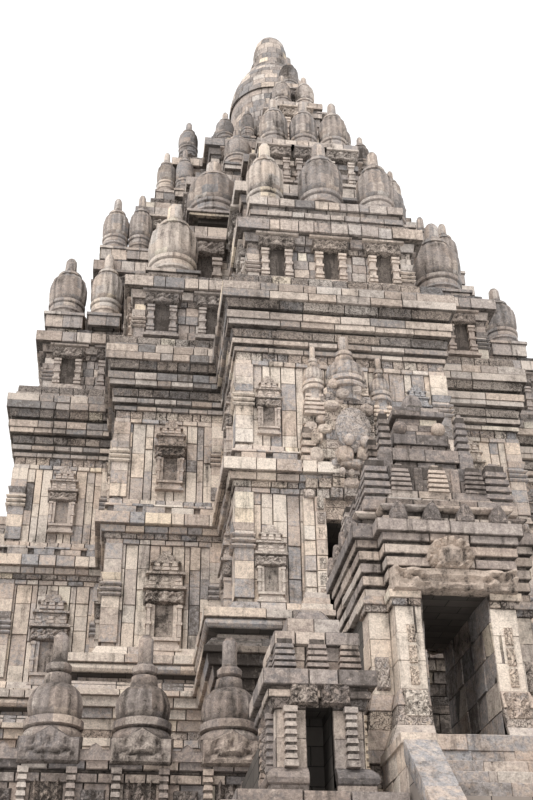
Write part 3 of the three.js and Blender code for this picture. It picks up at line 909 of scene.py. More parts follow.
def laid_blocks() -> bpy.types.NodeTree:
    """Makes the node group of plain laid blocks, for masonry that has no modelled stones.

    Returns:
        The group, with outputs for the tone of each block and its joints.
    """
    tree = bpy.data.node_groups.new("laid_blocks", "ShaderNodeTree")
    tree.interface.new_socket("Length", in_out="INPUT", socket_type="NodeSocketFloat")
    tree.interface.new_socket("Course", in_out="INPUT", socket_type="NodeSocketFloat")
    tree.interface.new_socket("Tone", in_out="OUTPUT", socket_type="NodeSocketFloat")
    tree.interface.new_socket("Joint", in_out="OUTPUT", socket_type="NodeSocketFloat")
    g = Graph(tree)
    given = tree.nodes.new("NodeGroupInput").outputs
    place = g.node("SeparateXYZ", {0: g.node("TexCoord").outputs["Object"]}).outputs
    facing = g.node("SeparateXYZ", {0: g.node("NewGeometry").outputs["Normal"]}).outputs
    is_flat = g.sum(g.sum(facing[2], 0, "ABSOLUTE"), 0.7, "GREATER_THAN")
    upright = g.node("CombineXYZ", {0: g.sum(place[0], place[1]), 1: place[2]}).outputs[0]
    lying = g.node("CombineXYZ", {0: place[0], 1: place[1]}).outputs[0]
    where = g.node("Mix", {0: is_flat, 4: upright, 5: lying}, data_type="VECTOR").outputs[1]
    brick = g.node("TexBrick", {
        "Vector": where, "Color1": (0.15, 0.15, 0.15, 1), "Color2": (0.8, 0.8, 0.8, 1),
        "Mortar": (0, 0, 0, 1), "Scale": 1.0, "Mortar Size": 0.0011, "Mortar Smooth": 0.6,
        "Bias": 0.0, "Brick Width": given["Length"], "Row Height": given["Course"],
    })
    out = tree.nodes.new("NodeGroupOutput")
    tree.links.new(brick.outputs["Color"], out.inputs["Tone"])
    tree.links.new(brick.outputs["Fac"], out.inputs["Joint"])
    return tree


@dataclass(frozen=True)
class StoneFinish:
    """One look of the andesite: its tones, its soiling and painted shade, and its roughness."""

    name: str
    dark: Colour = (0.17, 0.152, 0.14)
    cool: Colour = (0.36, 0.343, 0.34)
    warm: Colour = (0.52, 0.44, 0.385)
    pale: Colour = (0.68, 0.595, 0.51)
    cream: Colour = (0.75, 0.66, 0.54)
    soil: Colour = (0.06, 0.05, 0.044)
    stain: float = 0.45
    streak: float = 0.42
    lichen: float = 0.4
    # How dark the grime attribute makes the stone: dark joints, soiling and painted shade
    joints: float = 0.72
    bump: float = 0.7

    def build(self, group: bpy.types.NodeTree) -> bpy.types.Material:
        """Makes the material around the stone group.

        Args:
            group: The weathered stone group.

        Returns:
            The material.
        """
        finish = bpy.data.materials.new(self.name)
        finish.use_nodes = True
        g = Graph(finish.node_tree)
        stone = g.node("Group", node_tree=group)
        tints = (self.dark, self.cool, self.warm, self.pale, self.cream, self.soil)
        for tint, value in zip(Tint, tints):
            stone.inputs[tint.value].default_value = (*value, 1)
        for wear, value in zip(Wear, (self.stain, self.streak, self.lichen, self.joints)):
            stone.inputs[wear.value].default_value = value
        shader = finish.node_tree.nodes["Principled BSDF"]
        shader.inputs["Specular IOR Level"].default_value = 0.2
        bump = g.node("Bump", {"Strength": self.bump, "Distance": 0.0042,
                               "Height": stone.outputs["Height"]})
        finish.node_tree.links.new(stone.outputs["Color"], shader.inputs["Base Color"])
        finish.node_tree.links.new(stone.outputs["Roughness"], shader.inputs["Roughness"])
        finish.node_tree.links.new(bump.outputs[0], shader.inputs["Normal"])
        return finish


@dataclass(frozen=True)
class CoreFinish:
    """Masonry of the plain solids: laid blocks with joints, grain and soot."""

    name: str
    # Nearly black by default: painted shade for the solids that lie out of the sky
    dark: Colour = (0.05, 0.045, 0.042)
    pale: Colour = (0.17, 0.15, 0.133)
    length: float = 0.06
    course: float = 0.03

    def build(self, blocks: bpy.types.NodeTree) -> bpy.types.Material:
        """Makes the material around the block group.

        Args:
            blocks: The laid block group.

        Returns:
            The material.
        """
        finish = bpy.data.materials.new(self.name)
        finish.use_nodes = True
        g = Graph(finish.node_tree)
        laid = g.node("Group", {"Length": self.length, "Course": self.course}, node_tree=blocks)
        place = g.node("TexCoord").outputs["Object"]
        mottle = g.noise(place, 50, 6, 0.7)
        stain = g.ramp(g.noise(place, 8, 5, 0.65), 0.4, 0.7)
        share = g.sum(g.sum(laid.outputs["Tone"], 0.6, "MULTIPLY"), g.sum(mottle, 0.4, "MULTIPLY"))
        color = g.blend(share, (*self.dark, 1), (*self.pale, 1))
        color = g.blend(g.sum(stain, 0.5, "MULTIPLY"), color, (*self.dark, 1))
        color = g.blend(g.sum(laid.outputs["Joint"], 0.8, "MULTIPLY"), color,
                        (0.03, 0.027, 0.025, 1))
        height = g.sum(g.sum(mottle, 0.4, "MULTIPLY"),
                       g.sum(laid.outputs["Joint"], -1.0, "MULTIPLY"))
        shader = finish.node_tree.nodes["Principled BSDF"]
        shader.inputs["Specular IOR Level"].default_value = 0.2
        shader.inputs["Roughness"].default_value = 0.93
        bump = g.node("Bump", {"Strength": 0.5, "Distance": 0.002, "Height": height})
        finish.node_tree.links.new(color, shader.inputs["Base Color"])
        finish.node_tree.links.new(bump.outputs[0], shader.inputs["Normal"])
        return finish


@dataclass
class Finishes:
    """All the materials of the temple."""

    wall: bpy.types.Material
    cornice: bpy.types.Material
    roof: bpy.types.Material
    rail: bpy.types.Material
    core: bpy.types.Material
    paving: bpy.types.Material

    @classmethod
    def mixed(cls) -> "Finishes":
        """Makes every material from the shared groups.

        Returns:
            The materials.
        """
        stone, blocks = weathered_stone(), laid_blocks()
        return cls(
            wall=StoneFinish("pale_wall_stone", pale=(0.71, 0.62, 0.53), joints=0.56, stain=0.62,
                             streak=0.5).build(stone),
            cornice=StoneFinish("sooty_cornice_stone", cool=(0.25, 0.235, 0.228),
                                warm=(0.36, 0.31, 0.275),
                                pale=(0.56, 0.49, 0.43), stain=0.6, streak=0.45).build(stone),
            roof=StoneFinish("roof_stone", cool=(0.26, 0.245, 0.24), warm=(0.38, 0.33, 0.3),
                             pale=(0.6, 0.53, 0.47), stain=0.6, streak=0.62).build(stone),
            rail=StoneFinish("dark_rail_stone", dark=(0.11, 0.097, 0.09), cool=(0.21, 0.187, 0.178),
                             warm=(0.32, 0.27, 0.242), pale=(0.54, 0.465, 0.405), stain=0.6,
                             streak=0.65, lichen=0.55).build(stone),
            core=CoreFinish("shaded_core_masonry").build(blocks),
            paving=CoreFinish("stair_and_paving_masonry", dark=(0.12, 0.105, 0.097),
                              pale=(0.43, 0.37, 0.325)).build(blocks),
        )


# Carving


def lump(u: np.ndarray, v: np.ndarray, centre: Sequence[float],
         size: Sequence[float]) -> np.ndarray:
    """Gives a soft round swelling of height one about a centre."""
    return np.exp(-((u - centre[0]) / size[0]) ** 2 - ((v - centre[1]) / size[1]) ** 2)


def kala(width: float, height: float, depth: float) -> Carving:
    """Carves a kala, the guardian mask over a doorway: eyes, snout, teeth and flaming locks.

    Args:
        width: Width of the block.
        height: Height of the block.
        depth: Depth of the carving.

    Returns:
        The height of the carving over x and z.
    """
    def carve(x: np.ndarray, z: np.ndarray) -> np.ndarray:
        """Gives how far the carving stands out.

        Args:
            x: Places across the panel.
            z: Heights on the panel.

        Returns:
            How far each place stands out.
        """
        u, v = np.abs(x) / (width / 2), z / height
        eyes = 0.85 * lump(u, v, (0.24, 0.56), (0.1, 0.1))
        sockets = -0.5 * lump(u, v, (0.24, 0.56), (0.19, 0.19))
        snout = 0.8 * lump(u, v, (0.0, 0.45), (0.12, 0.14))
        snout += 0.5 * lump(u, v, (0.09, 0.38), (0.07, 0.07))
        brow = 0.55 * np.exp(-((v - 0.74 + 0.5 * (u - 0.25) ** 2) / 0.05) ** 2) * (u < 0.6)
        jaw = 0.6 * np.exp(-((v - 0.28 - 0.14 * u) / 0.05) ** 2) * (u < 0.66)
        teeth = 0.55 * np.exp(-((v - 0.15) / 0.07) ** 2) * np.abs(np.cos(u * 21)) * (u < 0.62)
        reach = np.hypot(u - 0.8, (v - 0.42) * 1.2)
        swirl = np.cos(22 * reach + 2.2 * np.arctan2(v - 0.42, u - 0.8))
        scroll = 0.5 * swirl * np.exp(-(reach / 0.34) ** 2)
        angle = np.arctan2(v - 0.45, u)
        locks = 0.35 * np.cos(17 * angle + 5 * v) * np.clip((v - 0.72) / 0.12, 0, 1)
        rim = 0.6 * np.exp(-((u - 0.96) / 0.05) ** 2)
        return depth * (0.25 + eyes + sockets + snout + brow + jaw + teeth + scroll + locks + rim)
    return carve


def small_mask(width: float, height: float, depth: float) -> Carving:
    """Carves the broad, simple mask of a parapet block: eyes, wide mouth, side curls and rim.

    Args:
        width: Width of the block.
        height: Height of the block.
        depth: Depth of the carving.

    Returns:
        The height of the carving over x and z.
    """
    def carve(x: np.ndarray, z: np.ndarray) -> np.ndarray:
        """Gives how far the carving stands out.

        Args:
            x: Places across the panel.
            z: Heights on the panel.

        Returns:
            How far each place stands out.
        """
        u, v = np.abs(x) / (width / 2), z / height
        cuts = 0.9 * np.exp(-((v - 0.3 - 0.5 * u ** 2) / 0.075) ** 2) * (u < 0.62)
        cuts += 0.8 * (lump(u, v, (0.0, 0.62), (0.1, 0.1)) + lump(u, v, (0.52, 0.72), (0.1, 0.12)))
        cuts += 0.8 * lump(u, v, (0.74, 0.32), (0.08, 0.16))
        cuts += 0.5 * np.exp(-((v - 0.08) / 0.05) ** 2)
        eyes = 0.4 * lump(u, v, (0.27, 0.58), (0.12, 0.14)) + 0.3 * (u > 0.9)
        eyes += 0.3 * lump(u, v, (0.0, 0.42), (0.2, 0.1))
        return depth * (0.8 + eyes - cuts)
    return carve


def vine(width: float, height: float, depth: float) -> Carving:
    """Carves leaf scrolls that mirror each other about the middle of a panel.

    Args:
        width: Width of the panel.
        height: Height of the panel.
        depth: Depth of the carving.

    Returns:
        The height of the carving over x and z.
    """
    def carve(x: np.ndarray, z: np.ndarray) -> np.ndarray:
        """Gives how far the carving stands out.

        Args:
            x: Places across the panel.
            z: Heights on the panel.

        Returns:
            How far each place stands out.
        """
        u, v = np.abs(x) / (width / 2), z / height
        out = np.zeros_like(u)
        for cu, cv, way in ((0.45, 0.25, 1), (0.5, 0.62, -1), (0.2, 0.88, 1), (0.85, 0.9, -1),
                            (0.9, 0.42, 1)):
            reach = np.hypot(u - cu, (v - cv) * height / width * 2)
            angle = np.arctan2(v - cv, u - cu) * way
            out += np.cos(18.0 * reach + angle * 2) * np.exp(-(reach / 0.3) ** 2)
        leaves = 0.4 * np.cos(u * 17 + 3 * np.sin(v * 13)) * np.cos(v * 19 - 2 * u)
        return depth * (0.5 + 0.5 * np.clip(out, -1, 1) + 0.35 * leaves)
    return carve


def standing_figures(width: float, height: float, depth: float, places: Sequence[float]) -> Carving:
    """Carves calm standing figures side by side.

    Args:
        width: Width of the panel.
        height: Height of the panel.
        depth: Depth of the carving.
        places: Middle of each figure, from -1 to 1 across the panel.

    Returns:
        The height of the carving over x and z.
    """
    def carve(x: np.ndarray, z: np.ndarray) -> np.ndarray:
        """Gives how far the figures stand out.

        Args:
            x: Places across the panel.
            z: Heights on the panel.

        Returns:
            How far each place stands out.
        """
        u, v = x / (width / 2), z / height
        out = np.zeros_like(u)
        for k in places:
            body = [
                lump(u, v, (k, 0.83), (0.085, 0.06)), 0.7 * lump(u, v, (k, 0.93), (0.06, 0.06)),
                0.9 * lump(u, v, (k, 0.64), (0.15, 0.1)),
                0.85 * lump(u, v, (k, 0.46), (0.11, 0.12)),
                0.8 * lump(u, v, (k - 0.07, 0.2), (0.055, 0.2)),
                0.8 * lump(u, v, (k + 0.07, 0.2), (0.055, 0.2)),
                0.6 * lump(u, v, (k - 0.19, 0.56), (0.04, 0.13)),
                0.6 * lump(u, v, (k + 0.19, 0.56), (0.04, 0.13)),
            ]
            out = np.maximum(out, np.max(body, axis=0))
        return depth * out
    return carve


# The patterns of the temple


# Height of the roof's ratna pattern
ROOF_RATNA_TALL = 2.27


class Carver:
    """Models every pattern of the temple once."""

    def dressed(self) -> Pattern:
        """Models a dressed stone with worn front edges, and a plainer one without corners.

        Returns:
            The stone, with the plainer one as its light.
        """
        self.rough_block()
        bpy.ops.mesh.bevel(offset=0.1, segments=1, affect="EDGES")
        corner = Bench().take(self.dark_sides).done()
        self.rough_block()
        bpy.ops.transform.resize(value=(0.8, 1, 0.8), center_override=(0.5, 0, 0.5))
        return replace(corner, light=Bench().take(self.dark_sides).done())

    @staticmethod
    def rough_block() -> None:
        """Starts a block from 0 to 1 along x and z and from -1 to 0 along y, its front selected."""
        bpy.ops.mesh.primitive_cube_add(size=1, enter_editmode=True)
        bpy.ops.transform.translate(value=(0.5, -0.5, 0.5))
        Bench.pick(lambda p: p[:, 1] > -0.01)

    @staticmethod
    def dark_sides(points: np.ndarray) -> np.ndarray:
        """Darkens all of a stone but its front: its joints, and painted shade on the rest."""
        return np.where(points[:, 1] > -0.05, 0.0, 1.0)

    @staticmethod
    def cut_across(places: Sequence[float]) -> None:
        """Cuts the object in edit mode across x at some places.

        Args:
            places: Where it is cut.
        """
        for place in places:
            bpy.ops.mesh.select_all(action="SELECT")
            bpy.ops.mesh.bisect(plane_co=(place, 0, 0), plane_no=(1, 0, 0))

    @staticmethod
    def tread(stone: Pattern) -> Pattern:
        """Gives a stone with a lightly darkened top and dark lower sides, for steps and copings.

        Args:
            stone: The stone.

        Returns:
            The copy.
        """
        points = stone.points
        return replace(stone,
                       grime_and_shade=np.where((points[:, 1] < -0.05) & (points[:, 2] < 0.5), 0.9, 0.15),
                       light=None)

    def wedge(self) -> Pattern:
        """Models the stone of a round course: a dressed stone that can follow a curve.

        Returns:
            The pattern.
        """
        self.rough_block()
        bpy.ops.mesh.bevel(offset=0.1, segments=1, affect="EDGES")
        self.cut_across((0.36, 0.64))
        return Bench().take(self.dark_sides).done()

    def rounded(self) -> Pattern:
        """Models a roll moulding: a stone with a half-round nose.

        Returns:
            The pattern.
        """
        nose = [(math.sin(math.pi * t), t) for t in (0.0, 0.14, 0.38, 0.62, 0.86, 1.0)]
        outline = [(-1.0, 0.0)] + nose + [(-1.0, 1.0)]
        bpy.ops.mesh.primitive_circle_add(vertices=len(outline), radius=1, fill_type="NGON")
        mesh = bpy.context.object.data
        mesh.vertices.foreach_set("co", np.array([(0.0, y, z) for y, z in outline]).ravel())
        bpy.ops.object.mode_set(mode="EDIT")
        bpy.ops.mesh.select_all(action="SELECT")
        bpy.ops.mesh.extrude_region_move(TRANSFORM_OT_translate={"value": (1, 0, 0)})
        self.cut_across((0.1, 0.9))

        def soil(points: np.ndarray) -> np.ndarray:
            """Darkens the ends as joints, and the foot and top as painted shade in the creases."""
            ends = np.where(np.abs(points[:, 0] - 0.5) > 0.45, 0.8, 0)
            return np.clip(ends + np.where(np.abs(points[:, 2] - 0.5) > 0.45, 0.7, 0), 0, 1)

        return Bench().take(soil).done()

    def rail_ratna(self) -> Pattern:
        """Models the great ratna of the parapet: drum, rings, ribbed bulb, neck and spire.

        Returns:
            The pattern.
        """
        profile = [
            (0.465, 0.0), (0.465, 0.42), (0.55, 0.46), (0.57, 0.54), (0.53, 0.62), (0.49, 0.65),
            (0.56, 0.69), (0.56, 0.82), (0.48, 0.86), (0.515, 0.97), (0.53, 1.1), (0.51, 1.24),
            (0.45, 1.37), (0.36, 1.46), (0.27, 1.5), (0.25, 1.7), (0.17, 1.73), (0.24, 1.78),
            (0.25, 1.88), (0.18, 1.94), (0.15, 1.98), (0.145, 2.45), (0.07, 2.54), (0.0, 2.55),
        ]
        bench = Bench().turned(profile, 28, ribs=0.075, ribbed=(0.88, 1.42),
                               soil=self.hollows(profile))
        return bench.done().blocks(0.34, 6, 0.07, 4)

    def roof_ratna(self, columns: int) -> Pattern:
        """Models a ratna of the roof: ring, tall bulb of laid stones, plates and blunt spire.

        Args:
            columns: Number of its sides.

        Returns:
            The pattern.
        """
        profile = [
            (0.465, 0.0), (0.475, 0.1), (0.458, 0.15), (0.5, 0.19), (0.505, 0.28), (0.46, 0.32),
            (0.505, 0.46), (0.52, 0.75), (0.515, 1.0), (0.48, 1.2), (0.4, 1.34), (0.28, 1.41),
            (0.345, 1.44), (0.33, 1.53), (0.2, 1.56), (0.165, 1.75), (0.15, 2.14), (0.1, 2.24),
            (0.0, ROOF_RATNA_TALL),
        ]
        bench = Bench().turned(profile, columns, ribs=0.06, ribbed=(0.4, 1.38),
                               soil=self.hollows(profile))
        return bench.done().blocks(0.285, 9, 0.13, 5)

    def foot(self) -> Pattern:
        """Models the round foot that a ratna stands on, one wide and one high.

        Returns:
            The pattern.
        """
        profile = [(0.52, 0.0), (0.53, 0.2), (0.47, 0.28), (0.45, 0.5), (0.46, 0.62), (0.5, 0.7),
                   (0.5, 0.92), (0.46, 1.0)]
        return Bench().turned(profile, 18, soil=self.hollows(profile)).done().blocks(0.5, 7, 0.1, 3)

    @staticmethod
    def hollows(profile: Sequence[Sequence[float]]) -> SoilingAndShade:
        """Paints shade into the narrow rings of a turned shape, where they sink back.

        Args:
            profile: Radius and height of the rings.

        Returns:
            A function from points to their soiling.
        """
        rings = np.array(profile)
        levels, radii = rings[:, 1], rings[:, 0]

        def soil(points: np.ndarray) -> np.ndarray:
            """Compares each point with the rings just above and below it.

            Args:
                points: The points.

            Returns:
                Their painted shade.
            """
            radius = np.hypot(points[:, 0], points[:, 1])
            nearby = np.maximum(np.interp(points[:, 2] + 0.05, levels, radii),
                                np.interp(points[:, 2] - 0.05, levels, radii))
            return np.clip((nearby - radius) / 0.06, 0, 0.9)

        return soil

    def turret(self) -> Pattern:
        """Models a small ribbed turret: five worn plates and a cap, one metre high.

        Returns:
            The pattern.
        """
        bench = Bench()
        for step, half in enumerate((0.5, 0.5, 0.48, 0.45, 0.41)):
            foot = 0.165 * step
            bench.box((-half, -half, foot), (half, half, foot + 0.1), top=(0.95, 0.95))
        # The darkened inner block is painted shade between the plates
        bench.box((-0.34, -0.34, 0.03), (0.34, 0.34, 0.9), grime_and_shade=1.1)
        bench.box((-0.24, -0.24, 0.88), (0.24, 0.24, 1.0), top=(0.6, 0.6))
        return bench.done()

    def colonette(self) -> Pattern:
        """Models a ringed post that is one metre high and stands half out of the wall.

        Returns:
            The pattern.
        """
        bench = Bench().box((-0.5, -0.5, 0), (0.5, 0.5, 0.1))
        for foot in np.linspace(0.13, 0.79, 6):
            bench.box((-0.44, -0.44, foot), (0.44, 0.44, foot + 0.08), top=(0.86, 0.86))
        # The darkened shaft is painted shade between the rings
        bench.box((-0.32, -0.32, 0.08), (0.32, 0.32, 0.94), grime_and_shade=0.9)
        return bench.box((-0.5, -0.5, 0.9), (0.5, 0.5, 1.0)).done()

    def antefix(self) -> Pattern:
        """Models a leaf-shaped stone that stands on the edge of a cornice.

        Returns:
            The pattern.
        """
        leaf = [(-0.5, 0), (0.5, 0), (0.5, 0.35), (0.38, 0.68), (0.16, 0.92), (0, 1), (-0.16, 0.92),
                (-0.38, 0.68), (-0.5, 0.35)]
        return Bench().plate(leaf, -0.3, 0.22, rim=0.1, crown=0.1, carve=0.9).done()

    def merlon(self) -> Pattern:
        """Models a low coping stone with a small raised point.

        Returns:
            The pattern.
        """
        line = [(-0.5, 0), (0.5, 0), (0.5, 0.62), (0.22, 0.62), (0.16, 0.8), (0, 1), (-0.16, 0.8),
                (-0.22, 0.62), (-0.5, 0.62)]
        return Bench().plate(line, -0.5, 0.1, rim=0.05, crown=-0.03).done()

    def gable_kala(self, width: float, height: float, depth: float, cells: Sequence[int],
                   mask: Callable[[float, float, float], Carving], dirt_and_shade: float) -> Pattern:
        """Models a kala block whose top rises to a point in the middle.

        Args:
            width: Width of the block.
            height: Height of its sides.
            depth: Depth of the carving.
            cells: Columns and rows of its grid.
            mask: Makes the carving from the width, height and depth.
            dirt_and_shade: Darkness of the painted shade in its deepest hollows.

        Returns:
            The pattern.
        """
        panel = Bench().relief((width, height), cells, mask(width, height, depth), dirt_and_shade=dirt_and_shade,
                               carve=0.3).done()
        x, z = panel.points[:, 0], panel.points[:, 2]
        rise = 1 + 0.42 * np.clip(1 - np.abs(x) / (width * 0.3), 0, 1) * (z / height)
        panel.points[:, 2] = z * rise
        return panel

    def niche(self) -> Pattern:
        """Models a wall niche: sill, jambs, dark back, kala lintel and stepped pediment.

        Returns:
            The pattern.
        """
        # The dark back is painted shade inside the niche
        bench = Bench().box((-0.27, -DEEP, -0.02), (0.27, 0.035, 0.94), grime_and_shade=0.8)
        sills = ((0.46, 0.17, -0.1, 0.0), (0.4, 0.1, -0.2, -0.1), (0.44, 0.14, -0.3, -0.2),
                 (0.5, 0.17, -0.38, -0.3))
        for half, out, foot, top in sills:
            bench.box((-half, -DEEP, foot), (half, out, top - 0.012))
        for side in (-1, 1):
            for near, far, out in ((0.25, 0.36, 0.13), (0.37, 0.47, 0.18)):
                inner, outer = sorted((side * near, side * far))
                bench.box((inner, -DEEP, 0), (outer, out, 0.92))
            inner, outer = sorted((side * 0.34, side * 0.5))
            for foot in (0.34, 0.82):
                bench.box((inner, -DEEP, foot), (outer, 0.2, foot + 0.08))
        mask = Bench().relief((1.16, 0.42), (16, 7), kala(1.16, 0.42, 0.09)).done()
        stages = ((0.6, 1.35, 0.1, 0.27), (0.48, 1.46, 0.34, 0.14), (0.55, 1.8, 0.08, 0.22),
                  (0.36, 1.9, 0.24, 0.12), (0.43, 2.14, 0.07, 0.18), (0.24, 2.22, 0.2, 0.1),
                  (0.13, 2.42, 0.14, 0.07))
        for half, foot, tall, out in stages:
            bench.box((-half, -DEEP, foot), (half, out, foot + tall - 0.012), top=(0.95, 1),
                      carve=0.8)
        for foot, places in ((1.46, (-0.36, 0.0, 0.36)), (1.9, (-0.25, 0.0, 0.25))):
            for x in places:
                for step in range(2):
                    half, level = 0.1 - 0.02 * step, foot + 0.02 + 0.13 * step
                    bench.box((x - half, -0.05, level), (x + half, 0.2 - 0.03 * step, level + 0.09))
        return joined([mask.moved(shift=(0, 0.17, 0.93)), bench.done()])

    def bay(self) -> Pattern:
        """Models the niche of a roof tier: sill, ringed posts, dark back and kala lintel.

        Returns:
            The pattern.
        """
        # The dark back is painted shade inside the niche
        bench = Bench().box((-0.28, -DEEP, 0.18), (0.28, 0.04, 1.26), grime_and_shade=1.15)
        bench.box((-0.56, -DEEP, 0), (0.56, 0.22, 0.09))
        bench.box((-0.48, -DEEP, 0.1), (0.48, 0.16, 0.19))
        for side in (-1, 1):
            inner, outer = sorted((side * 0.26, side * 0.44))
            bench.box((inner, -DEEP, 0.2), (outer, 0.15, 1.24))
            for foot in (0.22, 0.36, 0.66, 0.98, 1.12):
                bench.box((inner - 0.03, -DEEP, foot), (outer + 0.03, 0.2, foot + 0.08))
        bench.box((-0.64, -DEEP, 1.69), (0.64, 0.3, 1.76))
        mask = Bench().relief((1.16, 0.46), (16, 7), kala(1.16, 0.46, 0.1)).done()
        return joined([mask.moved(shift=(0, 0.2, 1.24)), bench.done()])

    def boss(self) -> Pattern:
        """Models a curled lump of carving, one wide and one high.

        Returns:
            The pattern.
        """
        def out(x: np.ndarray, z: np.ndarray) -> np.ndarray:
            """Gives how far the lump stands out.

            Args:
                x: Places across the panel.
                z: Heights on the panel.

            Returns:
                How far each place stands out.
            """
            reach = np.hypot(x / 0.5, (z - 0.5) / 0.5)
            angle = np.arctan2(z - 0.5, x)
            swell = 0.14 * np.clip(1.1 - reach ** 4, 0, 1)
            return np.where(reach < 1.05, swell + 0.022 * np.cos(9 * reach - angle), -0.3)

        return Bench().relief((1, 1), (12, 12), out, -0.6, dirt_and_shade=0.7, carve=0.3).done()

    def shield(self) -> Pattern:
        """Models the smooth egg-shaped face block of the great kala, one wide and one high.

        Returns:
            The pattern.
        """
        outline = [(0.5 * math.sin(a) * (1 - 0.12 * math.cos(a)), 0.5 - 0.5 * math.cos(a))
                   for a in np.linspace(0, 2 * math.pi, 18, endpoint=False)]
        return Bench().plate(outline, -0.5, 0.1, rim=0.12, crown=0.1, carve=0.9).done()

    def lintel(self) -> Pattern:
        """Models the great lintel of a gate: garlands and scrolls under a round kala head.

        Returns:
            The pattern.
        """
        def band(x: np.ndarray, z: np.ndarray) -> np.ndarray:
            """Gives how far the garlands stand out of the long block.

            Args:
                x: Places across the panel.
                z: Heights on the panel.

            Returns:
                How far each place stands out.
            """
            garland = sum(0.085 * np.exp(-((z - drop - 0.12 * np.abs(x) ** 1.6) / 0.035) ** 2)
                          for drop in (0.1, 0.26))
            reach = np.hypot(np.abs(x) - 0.76, z - 0.25)
            swirl = np.cos(22 * reach - 1.5 * np.arctan2(z - 0.25, np.abs(x) - 0.76))
            curl = 0.09 * swirl * np.exp(-(reach / 0.26) ** 2)
            teeth = 0.08 * np.abs(np.cos(14 * x)) * np.exp(-((z - 0.06) / 0.05) ** 2)
            teeth = teeth * (np.abs(x) < 0.45)
            return garland + curl + teeth + 0.05 * (np.abs(x) > 0.98)

        def head(x: np.ndarray, z: np.ndarray) -> np.ndarray:
            """Gives how far the round head stands out.

            Args:
                x: Places across the panel.
                z: Heights on the panel.

            Returns:
                How far each place stands out.
            """
            reach, angle = np.hypot(x / 0.38, (z - 0.26) / 0.32), np.arctan2(z - 0.26, x)
            mane = 0.075 * np.exp(-((reach - 0.85) / 0.16) ** 2) * np.cos(13 * angle)
            eyes = lump(np.abs(x), z, (0.12, 0.32), (0.055, 0.045))
            eyes = eyes + lump(x, z, (0, 0.2), (0.07, 0.08))
            cheeks = 0.6 * lump(np.abs(x), z, (0.13, 0.12), (0.07, 0.04))
            ring = 0.07 * np.exp(-((reach - 0.6) / 0.1) ** 2)
            return np.where(reach < 1.04, 0.05 + mane + 0.08 * (eyes + cheeks) - ring, -0.2)

        block = Bench().relief((2.2, 0.46), (40, 10), band, dirt_and_shade=0.75, carve=0.1).done()
        mask = Bench().relief((0.84, 0.62), (22, 16), head, -0.3, dirt_and_shade=0.9, carve=0.0).done()
        return joined([block, mask.moved(shift=(-0.03, 0.03, 0.4))])

    def orb(self) -> Pattern:
        """Models a round ball, one wide.

        Returns:
            The pattern.
        """
        bpy.ops.mesh.primitive_uv_sphere_add(segments=14, ring_count=9, radius=1,
                                             enter_editmode=True)
        bpy.ops.mesh.select_all(action="SELECT")
        bpy.ops.transform.resize(value=(0.5, 0.5, 0.5))
        return Bench().take(0.1).done()

    def bulb(self) -> Pattern:
        """Models a worn round stone bulb on a ring.

        Returns:
            The pattern.
        """
        profile = [(0.4, 0), (0.5, 0.06), (0.42, 0.16), (0.5, 0.3), (0.52, 0.55), (0.4, 0.8),
                   (0.2, 0.95), (0, 1)]
        return Bench().turned(profile, 16, soil=0.1).done()


@dataclass
class Stones:
    """The patterns that every part of the temple shares."""

    dressed: Pattern
    tread: Pattern
    scrolled: Pattern
    rounded: Pattern
    wedge: Pattern
    slab: Pattern
    vine: Pattern
    figures: Pattern
    small_kala: Pattern
    great_kala: Pattern
    rail_ratna: Pattern
    roof_ratna: Pattern
    small_ratna: Pattern
    turret: Pattern
    colonette: Pattern
    antefix: Pattern
    merlon: Pattern
    niche: Pattern
    bay: Pattern
    boss: Pattern
    shield: Pattern
    lintel: Pattern
    foot: Pattern
    bulb: Pattern
    orb: Pattern

    @classmethod
    def modelled(cls) -> "Stones":
        """Models them all.

        Returns:
            The patterns.
        """
        bpy.ops.object.select_all(action="DESELECT")
        carver = Carver()
        dressed = carver.dressed()
        return cls(
            dressed=dressed,
            tread=carver.tread(dressed),
            scrolled=dressed.carved(0.3),
            rounded=carver.rounded(),
            wedge=carver.wedge(),
            slab=Bench().box((-0.5, -1, 0), (0.5, 1, 1), bevel=0.07).done(),
            vine=Bench().relief((1, 1), (9, 10), vine(1, 1, 0.07)).done(),
            figures=Bench().relief((1, 1), (15, 11),
                                   standing_figures(1, 1, 0.12, (-0.58, 0.0, 0.58))).done(),
            small_kala=carver.gable_kala(1, 1, 0.1, (20, 9), small_mask, 1.1),
            great_kala=carver.gable_kala(1, 1, 0.14, (28, 24), kala, 0.5),
            rail_ratna=carver.rail_ratna(),
            roof_ratna=carver.roof_ratna(28),
            small_ratna=carver.roof_ratna(18),
            turret=carver.turret(),
            colonette=carver.colonette(),
            antefix=carver.antefix(),
            merlon=carver.merlon(),
            niche=carver.niche(),
            bay=carver.bay(),
            boss=carver.boss(),
            shield=carver.shield(),
            lintel=carver.lintel(),
            foot=carver.foot(),
            bulb=carver.bulb(),
            orb=carver.orb(),
        )


# Plans and mouldings


class Cut(Enum):
    """How the stones of a course are dressed."""

    PLAIN = "plain"
    ROLL = "roll"
    CARVED = "carved"


@dataclass(frozen=True)
class Band:
    """One moulding: its foot and top, and how far they stand out of the face."""

    foot: float
    top: float
    low: float
    high: float
    cut: Cut = Cut.PLAIN
    length: float = 0.6
    pale: float = 0.5
    grime_and_shade: float = 0.0
    lost: float = 0.0


def flat(foot: float, top: float, grow: float, length: float = 0.6, pale: float = 0.5,
         lost: float = 0.0) -> Band:
    """Makes an upright band, which stands out the same at its foot and top."""
    return Band(foot, top, grow, grow, Cut.PLAIN, length, pale, 0.0, lost)


